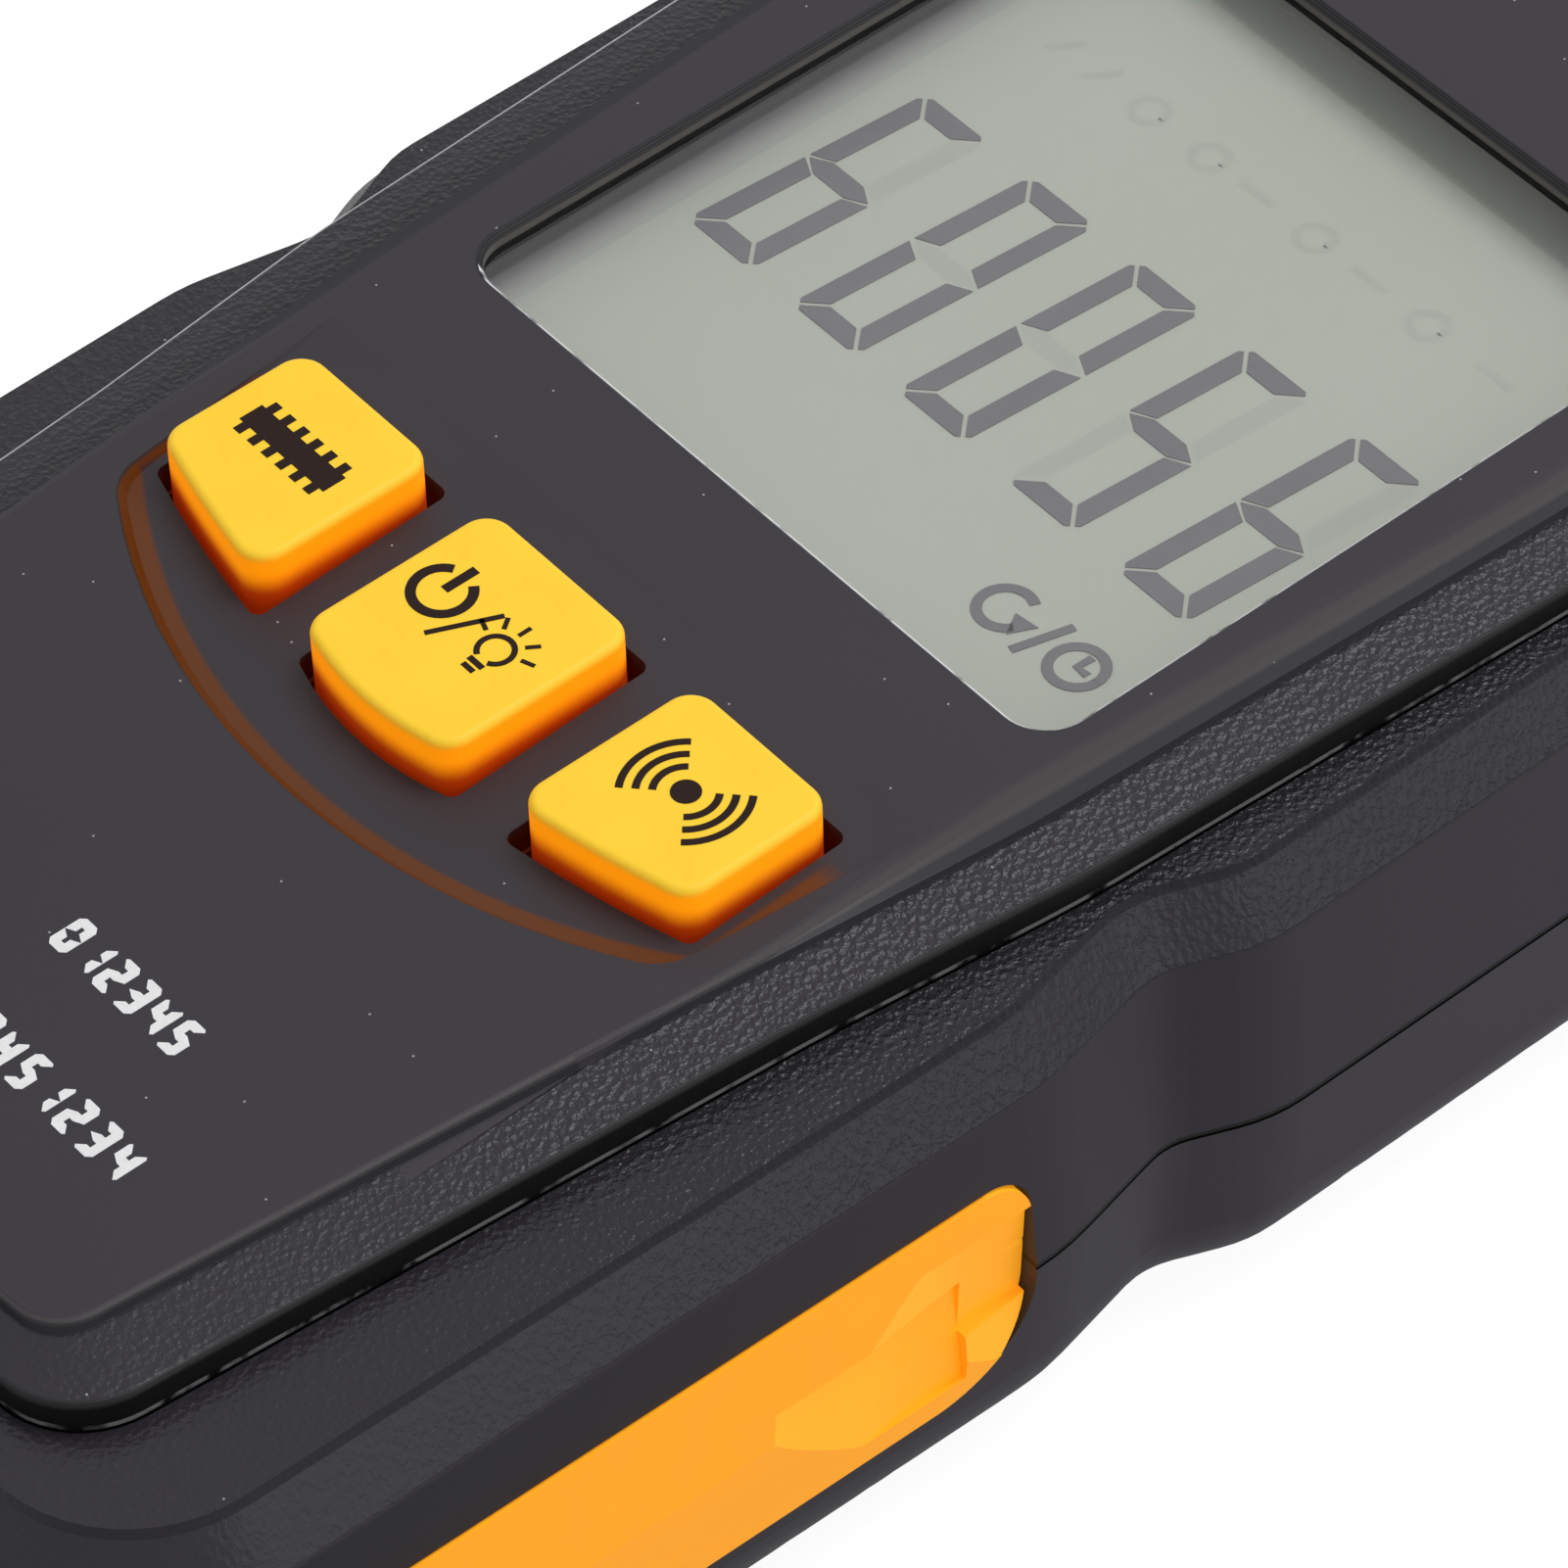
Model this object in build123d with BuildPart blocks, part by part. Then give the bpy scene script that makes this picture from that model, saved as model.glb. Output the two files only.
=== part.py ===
from build123d import *
from math import asin, degrees, radians, sin
import os

# Handheld contact tachometer, lying on its back with the display up.
# X runs across the body, Y from the handle's tail to the contact tip, Z out of the face.
# The origin is under the middle of the whole length, on the surface that the back rests on.
# Lengths along the body are measured from the tail.

# Driving dimensions in millimetres
body_length = 124.0         # tail to the end of the snout
tail_half_width = 26.7
handle_half_width = 27.6    # just below the waist
waist_half_width = 26.3
head_half_width = 28.0
snout_half_width = 15.5
tail_flat_half_width = 9.0
tail_bow = 2.0              # how far the tail's corners stand back from its flat middle
handle_end = 44.9           # where the waist starts, from the tail
waist_middle = 51.1
head_start = 55.1
head_end = 104.0            # where the head starts to narrow to the snout
corner_round = 9.0
handle_round = 12.0
waist_round = 3.0
head_round = 7.5
shoulder_round = 16.0
gentle_round = 50.0         # where two sides meet at almost the same angle

back_rise = 0.0             # the flat back
parting_height = 11.35      # joint line of the two shells, and the spindle's height
wall_top_height = 20.5      # where the side wall turns in
crease_height = 22.75       # upper edge of the sloping band
rim_height = 23.2           # top of the front shell around the face panel
face_height = 25.3          # the flat face
back_draft = 1.0            # each is how far the outline moves in from the parting line
wall_draft = 0.85
crease_inset = 2.55
rim_inset = 2.7
back_round = 5.6
parting_groove = 0.15       # fine chamfer round the front shell that shows the joint

back_wall = 2.2             # side wall at the parting line
deck_wall = 3.1             # side wall below the deck
floor_thickness = 2.0
deck_bottom = 20.7
deck_top = 22.3             # the face panel lies on it

panel_gap = 0.15
panel_tail = 6.2            # lower edge of the face panel, from the tail
panel_bow = 0.8
panel_flat_half_width = 7.0
panel_tail_half_width = 18.75
panel_handle_half_width = 21.4
panel_shoulder_half_width = 22.8
panel_neck_half_width = 24.15
panel_head_half_width = 24.25
panel_snout_half_width = 13.5
panel_handle = 38.0
panel_shoulder = 50.0
panel_neck = 76.0
panel_head_end = 102.1
panel_head = 120.3
panel_tail_round = 3.9
rim_drop = 0.75             # the panel's rim below the flat face
rim_round = 0.3
step_foot_drop = 0.42       # foot of the small step above the textured band
step_top_drop = 0.15
roll_drop = 0.05            # half way up the rolled edge of the flat face

# How far each level of the face panel lies inside the panel's outline:
# at the tail, at the tail's corners, on the handle, at the shoulder and on the head
face_insets = (2.2, 3.4, 3.1, 5.2, 4.7)
roll_insets = (2.05, 3.2, 2.87, 3.9, 3.8)
step_top_insets = (1.95, 3.1, 2.75, 2.8, 2.9)
step_foot_insets = (1.85, 2.98, 2.63, 2.68, 2.77)

window_middle = 70.3        # middle of the display window, from the tail
window_width = 34.4
window_length = 34.9
window_round = 1.9
lip_thickness = 0.7
lip_bevel = 0.3
pane_thickness = 1.5
pane_border = 1.4
pane_slack = 0.15           # round the pane, the display and the keys' own seats
display_gap = 0.9           # under the pane
display_thickness = 2.8
display_border = 1.9
frame_wall = 1.3
frame_lip = 1.0
light_border = 0.6          # how far the display's clear middle lies inside the window
strip_length = 30.0
strip_width = 1.7

key_top = 44.05             # upper edge of the three keys, from the tail
inner_arc_low = 34.35       # lowest point of the arc that ends the middle key
inner_arc_radius = 14.0
outer_arc_low = 34.75       # the outer keys' lower edges lie on one arc
outer_arc_radius = 56.0
key_inner_half = 4.4        # half of the middle key
key_outer_start = 7.7       # the outer keys, from the middle line
key_outer_end = 15.8
key_proud = 1.8
key_round = 1.2
key_edge = 0.35
key_slack = 0.3
key_hole_round = 0.45
key_travel = 0.5
flange_border = 0.9
flange_thickness = 0.9
well_half_width = 17.9      # the shallow slanting recess that the keys stand in
well_narrowing = 0.14       # of each side, for every millimetre towards the tail
well_arc_low = 30.75
well_arc_radius = 30.5
well_top = 47.0
well_depth = 0.65
well_round = 2.0

board_height = 15.3         # underside of the circuit board
board_thickness = 1.2
board_half_width = 19.5
board_tail = 20.0
board_head = 103.4
board_corner_round = 1.5
chip_size = 12.0
chip_thickness = 1.4
switch_size = 6.0
switch_height = 2.5
plunger_spare = 0.15        # plunger that still stands out with its key fully down
switch_from_key_top = 4.6
plunger_radius = 1.6
plunger_length = 1.3
slide_slack = 0.1

cell_radius = 5.25
cell_length = 43.7          # without its nub
cell_pitch = 11.0
cell_tail = 8.4             # flat end of the outer cells, from the tail
cell_clearance = 0.3        # to the door
cell_nub_radius = 1.9
cell_nub_length = 0.8
cell_edge_round = 0.4
bay_wall = 1.2
bay_headroom = 0.6
contact_thickness = 0.4
contact_width = 7.0
contact_corner_round = 0.8
spring_reach = 2.4
spring_width = 4.0
spring_play = 0.05
spring_bend = 0.5

door_half_width = 16.4
door_length = 57.0
door_rise = 4.6             # how far the door wraps up the tail
door_cap_length = 6.8       # the part of it that closes the tail
door_slack = 0.2
tongue_width = 1.0
tongue_thickness = 0.9
tongue_root = 1.2
tongue_slack = 0.15
thumb_groove_count = 6
thumb_groove_pitch = 1.7
thumb_groove_width = 0.8
thumb_groove_length = 13.0
thumb_groove_depth = 0.45
thumb_start = 11.0

grip_tail = 7.0
grip_head = 43.4
grip_bottom = 6.1
grip_top = 16.8
grip_top_round = 2.0
grip_bottom_round = 4.6
grip_depth = 1.2
grip_proud = 0.15
grip_slack = 0.12
grip_pitch = 6.4
hollow_radius = 60.0
hollow_depth = 0.1          # half way up a row
weave_lean = 1.5            # degrees: each hollow runs out towards the grip's edge

barrel_radius = 8.0
barrel_inner_radius = 7.0
barrel_nose_radius = 6.2
barrel_lip_length = 2.4
barrel_lip_height = 0.7
barrel_reach = 16.0         # beyond the snout
barrel_start = 104.2
flange_start = 112.0
flange_length = 2.6
flange_radius = 9.6
collar_radius = 9.2
collar_length = 2.2
nose_block_start = 108.0
nose_block_half_width = 12.5
barrel_slack = 0.1
bore_slack = 1.0            # round the spindle between its bushes

spindle_radius = 2.0
running_slack = 0.05
spindle_stub = 1.0          # behind the encoder disc
spindle_chamfer = 0.4
bush_radius = 4.3
bush_length = 6.0
shoulder_radius = 3.2
shoulder_length = 2.2
end_play = 0.15
tip_radius = 6.0
tip_point_radius = 1.6
tip_length = 15.6
tip_straight = 5.0
tip_seat = 9.0              # length of the spindle inside the tip
tip_back_chamfer = 0.8
tip_point_chamfer = 1.2

disc_radius = 7.5
disc_thickness = 0.8
disc_slot_count = 12
disc_slot_length = 2.2
disc_slot_width = 1.1
disc_clearance = 1.4        # round the disc, to the board and the sensor
hub_radius = 3.6
hub_length = 4.9
sensor_gap = 2.4
sensor_width = 7.0
sensor_reach = 13.0
sensor_start = 4.4
sensor_height = 7.0

screw_radius = 1.3
screw_head_radius = 2.2
screw_head_length = 1.5
screw_slack = 0.05
screw_head_slack = 0.2
screw_seat = 4.2            # height of the seat under each case screw's head
screw_bite = 6.0            # into the front shell
post_radius = 2.8
post_places = ((21.7, 12.0), (22.6, 98.0))
board_screw_places = ((15.2, 28.0), (15.2, 94.5))
board_screw_radius = 0.9
board_screw_head_radius = 1.7
board_screw_head_length = 1.0
board_screw_bite = 3.0
board_post_radius = 2.1
driver_slot_width = 0.5

# Values worked out from the driving dimensions
tip_end = body_length + barrel_reach + end_play + shoulder_length + tip_length
tail = -tip_end / 2
pane_top = face_height - lip_thickness
pane_bottom = pane_top - pane_thickness
display_top = pane_bottom - display_gap
display_bottom = display_top - display_thickness
plunger_rise = key_travel + plunger_spare
board_top = board_height + board_thickness
key_height = face_height + key_proud
plunger_top = board_top + switch_height + plunger_rise
key_bottom = plunger_top
cell_height = floor_thickness + cell_clearance + cell_radius
bay_top = cell_height + cell_radius + bay_headroom
bay_half_width = door_half_width + tongue_width + door_slack
bay_start = cell_tail - spring_reach - contact_thickness
bay_end = cell_tail + cell_length + cell_nub_length + contact_thickness
bay_middle = (bay_start + bay_end) / 2
window_y = tail + window_middle
disc_y = tail + barrel_start - end_play - hub_length
switch_y = tail + key_top - switch_from_key_top

os.makedirs("parts", exist_ok=True)
made = []


def keep(builder, label):
    """Label a finished piece and write it to its own file."""
    builder.part.label = label
    export_step(builder.part, f"parts/{label}.step")
    made.append(label)


def both_at(places):
    """The same place on the left and on the right, from the tail."""
    return [(side * x, tail + y) for x, y in places for side in (-1, 1)]


# Outlines seen from above


def both_sides(right_side):
    """Corners of a symmetric outline, from the right of its tail round to the left."""
    left_side = [(-x, y) for x, y in reversed(right_side)]
    return [Vector(x, tail + y) for x, y in right_side + left_side]


def both_rounds(right_rounds):
    """Radii for the corners of both_sides."""
    return right_rounds + right_rounds[::-1]


def moved_in(corners, rounds, inset):
    """The corners moved in by inset, and the radii that keep the outline parallel."""
    places, radii = [], []
    for index, corner in enumerate(corners):
        before = (corner - corners[index - 1]).normalized()
        after = (corners[(index + 1) % len(corners)] - corner).normalized()
        inward = Vector(-before.Y, before.X) + Vector(-after.Y, after.X)
        places.append(corner + inward * (inset / (1 + before.dot(after))))
        turns_in = before.cross(after).Z > 0
        radii.append(max(rounds[index] + (-inset if turns_in else inset), 0.3))
    return places, radii


def outline(corners, rounds, inset=0.0):
    """Face inside a rounded outline, in the sketch that is open."""
    places, radii = moved_in(corners, rounds, inset)
    with BuildLine() as rim:
        FilletPolyline(*places, radius=radii, close=True)
    make_face(rim.edges())


body_corners = both_sides(
    [
        (tail_flat_half_width, 0),
        (tail_half_width, tail_bow),
        (handle_half_width, handle_end),
        (waist_half_width, waist_middle),
        (head_half_width, head_start),
        (head_half_width, head_end),
        (snout_half_width, body_length),
    ]
)
body_rounds = both_rounds(
    [
        gentle_round,
        corner_round,
        handle_round,
        waist_round,
        head_round,
        shoulder_round,
        head_round,
    ]
)


def panel_outline(tail_in, corner_in, handle_in, shoulder_in, head_in):
    """Corners of the face panel, moved in by a distance of its own for each stretch."""
    return both_sides(
        [
            (panel_flat_half_width, panel_tail - panel_bow + tail_in),
            (panel_tail_half_width - corner_in, panel_tail + tail_in),
            (panel_handle_half_width - handle_in, panel_handle),
            (panel_shoulder_half_width - shoulder_in, panel_shoulder),
            (panel_neck_half_width - head_in, panel_neck),
            (panel_head_half_width - head_in, panel_head_end - head_in / 4),
            (panel_snout_half_width - head_in / 2, panel_head - head_in * 0.8),
        ]
    )


panel_corners = panel_outline(0, 0, 0, 0, 0)
panel_rounds = both_rounds(
    [gentle_round, panel_tail_round, gentle_round, gentle_round, gentle_round, 12.0, 5.0]
)
inner_rounds = both_rounds([gentle_round, 2.2, gentle_round, gentle_round, gentle_round, 10.0, 4.0])


def body_sections(levels):
    """The body's outline at each (height, inset), to be lofted."""
    sections = []
    for height, inset in levels:
        with BuildSketch(Plane.XY.offset(height)) as section:
            outline(body_corners, body_rounds, inset)
        sections.append(section.sketch)
    return sections


def side_line(inset):
    """Levels of both shells' side wall, moved in by inset."""
    return [
        (back_rise, back_draft + inset),
        (parting_height, inset),
        (wall_top_height, wall_draft + inset),
    ]


# Side grips: each is cut from a skin that follows the wall, inside a rounded side view


def side_skin(outer_inset, inner_inset):
    """Skin of both shells' side walls between two insets."""
    with BuildPart(mode=Mode.PRIVATE) as skin:
        loft(body_sections(side_line(outer_inset)), ruled=True)
        loft(body_sections(side_line(inner_inset)), ruled=True, mode=Mode.SUBTRACT)
    return skin.part


def grip_side_view(grow):
    """Rounded outline of a grip, in an open sketch on the middle plane."""
    low, high = grip_bottom - grow, grip_top + grow
    start, end = tail + grip_tail - grow, tail + grip_head + grow
    with BuildLine() as rim:
        FilletPolyline(
            (start, low),
            (end, low),
            (end, high),
            (start, high),
            radius=[grip_bottom_round, grip_bottom_round, grip_top_round, grip_top_round],
            close=True,
        )
    make_face(rim.edges())


def grip_block(side, grow):
    """Block that reaches out from the middle through one side wall."""
    with BuildPart(mode=Mode.PRIVATE) as block:
        with BuildSketch(Plane.YZ):
            grip_side_view(grow)
        extrude(amount=side * 2 * head_half_width)
    return block.part


wall_turn = degrees(asin((handle_half_width - tail_half_width) / (handle_end - tail_bow)))
upper_lean = degrees(asin(wall_draft / (wall_top_height - parting_height)))
lower_lean = degrees(asin(back_draft / parting_height))


def weave_rods(side, wall_lean, middle_height, shift):
    """Upright half rods that press a row of one-sided hollows into a grip's face."""
    half_height = abs(middle_height - parting_height)
    tilt = side * (weave_lean - wall_lean) * (1 if middle_height > parting_height else -1)
    row = int((grip_head - grip_tail) / grip_pitch) + 1
    with BuildPart(mode=Mode.PRIVATE) as rods:
        for step in range(row):
            along = grip_tail + (step + shift) * grip_pitch
            wall = tail_half_width + (along - tail_bow) * sin(radians(wall_turn))
            wall -= half_height * sin(radians(wall_lean))
            reach = wall + grip_proud + hollow_radius - hollow_depth
            with Locations(Location((side * reach, tail + along, middle_height), (0, tilt, 0))):
                Cylinder(hollow_radius, half_height * 2, arc_size=180, rotation=(0, 0, 180))
    return rods.part


for side, name in ((-1, "side_grip_left"), (1, "side_grip_right")):
    with BuildPart() as grip:
        add(side_skin(-grip_proud, grip_depth - grip_slack))
        add(grip_block(side, 0), mode=Mode.INTERSECT)
        upper_middle = (parting_height + grip_top) / 2
        lower_middle = (parting_height + grip_bottom) / 2
        add(weave_rods(side, upper_lean, upper_middle, 0.5), mode=Mode.SUBTRACT)
        add(weave_rods(side, lower_lean, lower_middle, 1.0), mode=Mode.SUBTRACT)
    keep(grip, name)

grip_recess = side_skin(-grip_proud - 1, grip_depth)

# Contact head: barrel with its two bushes, spindle and tip, turned about the parting height

spindle_plane = Plane(origin=(0, 0, parting_height), x_dir=(1, 0, 0), z_dir=(0, 0, 1))


def turned(steps):
    """Face of a turned piece: (place from the tail, radius) pairs along its outside."""
    start, end = steps[0][0], steps[-1][0]
    rim = [(radius, tail + along) for along, radius in steps]
    with BuildLine() as section:
        Polyline((0, tail + start), *rim, (0, tail + end), close=True)
    make_face(section.edges())


barrel_end = body_length + barrel_reach
with BuildPart() as nose_housing:
    with BuildSketch(spindle_plane):
        turned(
            [
                (barrel_start, barrel_inner_radius),
                (flange_start, barrel_inner_radius),
                (flange_start, flange_radius),
                (flange_start + flange_length, flange_radius),
                (flange_start + flange_length, barrel_radius),
                (body_length + end_play, barrel_radius),
                (body_length + end_play, collar_radius),
                (body_length + end_play + collar_length, collar_radius),
                (body_length + end_play + collar_length, barrel_radius),
                (barrel_end - barrel_lip_length, barrel_nose_radius),
                (barrel_end - barrel_lip_length, barrel_nose_radius + barrel_lip_height),
                (barrel_end, barrel_nose_radius + barrel_lip_height),
            ]
        )
    revolve(axis=Axis((0, 0, parting_height), (0, 1, 0)))
    with BuildSketch(spindle_plane):
        turned(
            [
                (barrel_start - 1, bush_radius),
                (barrel_start + bush_length, bush_radius),
                (barrel_start + bush_length, spindle_radius + bore_slack),
                (barrel_end - bush_length, spindle_radius + bore_slack),
                (barrel_end - bush_length, bush_radius),
                (barrel_end + 1, bush_radius),
            ]
        )
    revolve(axis=Axis((0, 0, parting_height), (0, 1, 0)), mode=Mode.SUBTRACT)
    rim = nose_housing.edges().filter_by(GeomType.CIRCLE).group_by(Axis.Y)[-1]
    chamfer(rim.sort_by(SortBy.RADIUS)[-1], barrel_lip_height / 2)
keep(nose_housing, "nose_housing")

for name, start in (("rear_bush", barrel_start), ("front_bush", barrel_end - bush_length)):
    with BuildPart() as bush:
        with BuildSketch(Plane.XZ.offset(-(tail + start))):
            with Locations((0, parting_height)):
                Circle(bush_radius)
                Circle(spindle_radius + running_slack, mode=Mode.SUBTRACT)
        extrude(amount=-bush_length)
    keep(bush, name)

spindle_start = barrel_start - end_play - hub_length - spindle_stub
with BuildPart() as spindle:
    with BuildSketch(spindle_plane):
        turned(
            [
                (spindle_start, spindle_radius - spindle_chamfer),
                (spindle_start + spindle_chamfer, spindle_radius),
                (barrel_end + end_play, spindle_radius),
                (barrel_end + end_play, shoulder_radius),
                (barrel_end + end_play + shoulder_length, shoulder_radius),
                (barrel_end + end_play + shoulder_length, spindle_radius),
                (barrel_end + end_play + shoulder_length + tip_seat, spindle_radius),
            ]
        )
    revolve(axis=Axis((0, 0, parting_height), (0, 1, 0)))
keep(spindle, "spindle")

tip_start = barrel_end + end_play + shoulder_length
with BuildPart() as contact_tip:
    with BuildSketch(spindle_plane):
        turned(
            [
                (tip_start, tip_radius - tip_back_chamfer),
                (tip_start + tip_back_chamfer, tip_radius),
                (tip_start + tip_straight, tip_radius),
                (tip_start + tip_length - tip_point_chamfer, tip_point_radius + tip_point_chamfer / 2),
                (tip_start + tip_length, tip_point_radius),
            ]
        )
    revolve(axis=Axis((0, 0, parting_height), (0, 1, 0)))
    with BuildSketch(spindle_plane):
        turned([(tip_start - 1, spindle_radius), (tip_start + tip_seat, spindle_radius)])
    revolve(axis=Axis((0, 0, parting_height), (0, 1, 0)), mode=Mode.SUBTRACT)
keep(contact_tip, "contact_tip")

with BuildPart() as encoder_disc:
    with BuildSketch(Plane.XZ.offset(-disc_y)):
        with Locations((0, parting_height)):
            Circle(disc_radius)
            with PolarLocations((disc_radius + hub_radius) / 2, disc_slot_count):
                Rectangle(disc_slot_length, disc_slot_width, mode=Mode.SUBTRACT)
    extrude(amount=-disc_thickness)
    with BuildSketch(Plane.XZ.offset(-disc_y)):
        with Locations((0, parting_height)):
            Circle(hub_radius)
    extrude(amount=-hub_length)
    with BuildSketch(Plane.XZ.offset(-disc_y)):
        with Locations((0, parting_height)):
            Circle(spindle_radius)
    extrude(amount=-hub_length, mode=Mode.SUBTRACT)
keep(encoder_disc, "encoder_disc")

# Face panel with the window, the key holes and the slanting key well

outer_arc = (outer_arc_low, outer_arc_radius)
key_shapes = {
    "memory": (-key_outer_end, -key_outer_start, outer_arc),
    "power": (-key_inner_half, key_inner_half, (inner_arc_low, inner_arc_radius)),
    "measure": (key_outer_start, key_outer_end, outer_arc),
}


def key_face(shape, grow, corner_round):
    """A key's outline, grown by grow: straight sides, and a lower edge that is an arc."""
    left, right, (arc_low, arc_radius) = shape
    depth = key_top - arc_low + 2 * grow
    with Locations(((left + right) / 2, tail + key_top + grow - depth / 2)):
        Rectangle(right - left + 2 * grow, depth)
    with Locations((0, tail + arc_low + arc_radius)):
        Circle(arc_radius + grow, mode=Mode.INTERSECT)
    fillet(vertices(), corner_round)


def key_holes():
    """The holes round the three keys, in an open sketch."""
    for shape in key_shapes.values():
        with BuildSketch(mode=Mode.PRIVATE) as hole:
            key_face(shape, key_slack, key_hole_round)
        add(hole.sketch)


def window_face(grow):
    """The display window's outline, grown by grow."""
    with Locations((0, window_y)):
        RectangleRounded(
            window_width + 2 * grow, window_length + 2 * grow, max(window_round + grow, 0.3)
        )


well_tail = well_arc_low
well_slope = well_depth / (well_top - well_tail)
well_foot_half_width = well_half_width - well_narrowing * well_arc_radius
well_plane = Plane(
    origin=(0, tail + well_top, face_height), x_dir=(1, 0, 0), z_dir=(0, -well_slope, 1)
)

panel_rim = face_height - rim_drop
panel_levels = (
    (step_foot_drop, step_foot_insets),
    (step_top_drop, step_top_insets),
    (roll_drop, roll_insets),
    (0, face_insets),
)
with BuildPart() as face_panel:
    with BuildSketch(Plane.XY.offset(deck_top)):
        outline(panel_corners, panel_rounds)
    extrude(amount=panel_rim - deck_top)
    with BuildSketch(Plane.XY.offset(panel_rim)):
        outline(panel_corners, panel_rounds)
    for drop, insets in panel_levels:
        with BuildSketch(Plane.XY.offset(face_height - drop)):
            outline(panel_outline(*insets), inner_rounds)
    loft(ruled=True)
    fillet(face_panel.edges().filter_by_position(Axis.Z, panel_rim, panel_rim), rim_round)
    with BuildSketch(Plane.XY.offset(deck_top)):
        window_face(0)
    extrude(amount=face_height - deck_top, mode=Mode.SUBTRACT)
    with BuildSketch(Plane.XY.offset(deck_top)):
        window_face(pane_border)
    extrude(amount=pane_top - deck_top, mode=Mode.SUBTRACT)
    with BuildSketch(well_plane):
        with BuildLine():
            Polyline(
                (-well_half_width, 0),
                (-well_foot_half_width, -well_arc_radius),
                (well_foot_half_width, -well_arc_radius),
                (well_half_width, 0),
                close=True,
            )
        make_face()
        with Locations((0, well_arc_low + well_arc_radius - well_top)):
            Circle(well_arc_radius, mode=Mode.INTERSECT)
        fillet(vertices().sort_by(Axis.Y)[:2], well_round)
    extrude(amount=well_depth * 2, taper=-38, mode=Mode.SUBTRACT)
    with BuildSketch(Plane.XY.offset(deck_top)):
        key_holes()
    extrude(amount=face_height - deck_top, mode=Mode.SUBTRACT)
    window_edge = face_panel.faces().sort_by(Axis.Z)[-1].inner_wires()
    chamfer(window_edge.sort_by(SortBy.LENGTH)[-1].edges(), lip_bevel)
keep(face_panel, "face_panel")

with BuildPart() as window_pane:
    with BuildSketch(Plane.XY.offset(pane_bottom)):
        window_face(pane_border - pane_slack)
    extrude(amount=pane_thickness)
keep(window_pane, "window_pane")

# Display stack between the deck and the circuit board

with BuildPart() as display_panel:
    with BuildSketch(Plane.XY.offset(display_bottom)):
        window_face(display_border)
    extrude(amount=display_thickness)
keep(display_panel, "display_panel")

strip_y = window_y - window_length / 2 - (display_border - light_border) / 2
with BuildPart() as display_frame:
    with BuildSketch(Plane.XY.offset(board_top)):
        window_face(display_border + frame_wall)
    extrude(amount=display_bottom + frame_lip - board_top)
    with BuildSketch(Plane.XY.offset(display_bottom)):
        window_face(display_border + pane_slack)
    extrude(amount=frame_lip, mode=Mode.SUBTRACT)
    with BuildSketch(Plane.XY.offset(board_top)):
        window_face(-light_border)
        with Locations((0, strip_y)):
            Rectangle(strip_length + 2 * pane_slack, strip_width + 2 * pane_slack)
    extrude(amount=display_bottom - board_top, mode=Mode.SUBTRACT)
keep(display_frame, "display_frame")

with BuildPart() as backlight_guide:
    with BuildSketch(Plane.XY.offset(board_top)):
        window_face(-light_border - pane_slack)
    extrude(amount=display_bottom - board_top)
keep(backlight_guide, "backlight_guide")

with BuildPart() as contact_strip:
    with BuildSketch(Plane.XY.offset(board_top)):
        with Locations((0, strip_y)):
            Rectangle(strip_length, strip_width)
    extrude(amount=display_bottom - board_top)
keep(contact_strip, "contact_strip")

# Keys, each with the plunger of the switch under it

for name, shape in key_shapes.items():
    middle_x = (shape[0] + shape[1]) / 2
    with BuildPart() as key:
        with BuildSketch(Plane.XY.offset(key_bottom)):
            key_face(shape, 0, key_round)
        extrude(amount=key_height - key_bottom)
        fillet(key.edges().group_by(Axis.Z)[-1], key_edge)
        with BuildSketch(Plane.XY.offset(key_bottom)):
            key_face(shape, flange_border, key_round)
        extrude(amount=flange_thickness)
    keep(key, f"{name}_key")

    with BuildPart() as plunger:
        with BuildSketch(Plane.XY.offset(plunger_top)):
            with Locations((middle_x, switch_y)):
                Circle(plunger_radius)
        extrude(amount=-plunger_length)
    keep(plunger, f"{name}_plunger")

    with BuildPart() as switch:
        with BuildSketch(Plane.XY.offset(board_top)):
            with Locations((middle_x, switch_y)):
                Rectangle(switch_size, switch_size)
        extrude(amount=switch_height)
        with BuildSketch(Plane.XY.offset(board_top + switch_height)):
            with Locations((middle_x, switch_y)):
                Circle(plunger_radius + slide_slack)
        extrude(amount=-(plunger_length + key_travel), mode=Mode.SUBTRACT)
    keep(switch, f"{name}_switch")

# Circuit board with its parts

with BuildPart() as circuit_board:
    with BuildSketch(Plane.XY.offset(board_height)):
        board_length = board_head - board_tail
        with Locations((0, tail + board_tail + board_length / 2)):
            Rectangle(2 * board_half_width, board_length)
        fillet(vertices(), board_corner_round)
        notch_start = disc_y - disc_clearance
        with Locations((0, (notch_start + tail + board_head) / 2)):
            notch_width = 2 * (disc_radius + disc_clearance / 2)
            Rectangle(notch_width, tail + board_head - notch_start, mode=Mode.SUBTRACT)
        with Locations(*both_at(board_screw_places)):
            Circle(board_screw_radius + screw_slack, mode=Mode.SUBTRACT)
    extrude(amount=board_thickness)
keep(circuit_board, "circuit_board")

with BuildPart() as speed_sensor:
    sensor_length = sensor_reach - sensor_start
    with BuildSketch(Plane.XY.offset(board_height)):
        with Locations((sensor_start + sensor_length / 2, disc_y + disc_thickness / 2)):
            Rectangle(sensor_length, sensor_width)
    extrude(amount=-sensor_height)
    with BuildSketch(Plane.XY.offset(board_height)):
        gap_length = disc_radius + disc_clearance - sensor_start
        with Locations((sensor_start + gap_length / 2, disc_y + disc_thickness / 2)):
            Rectangle(gap_length, sensor_gap)
    extrude(amount=-sensor_height, mode=Mode.SUBTRACT)
keep(speed_sensor, "speed_sensor")

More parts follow.
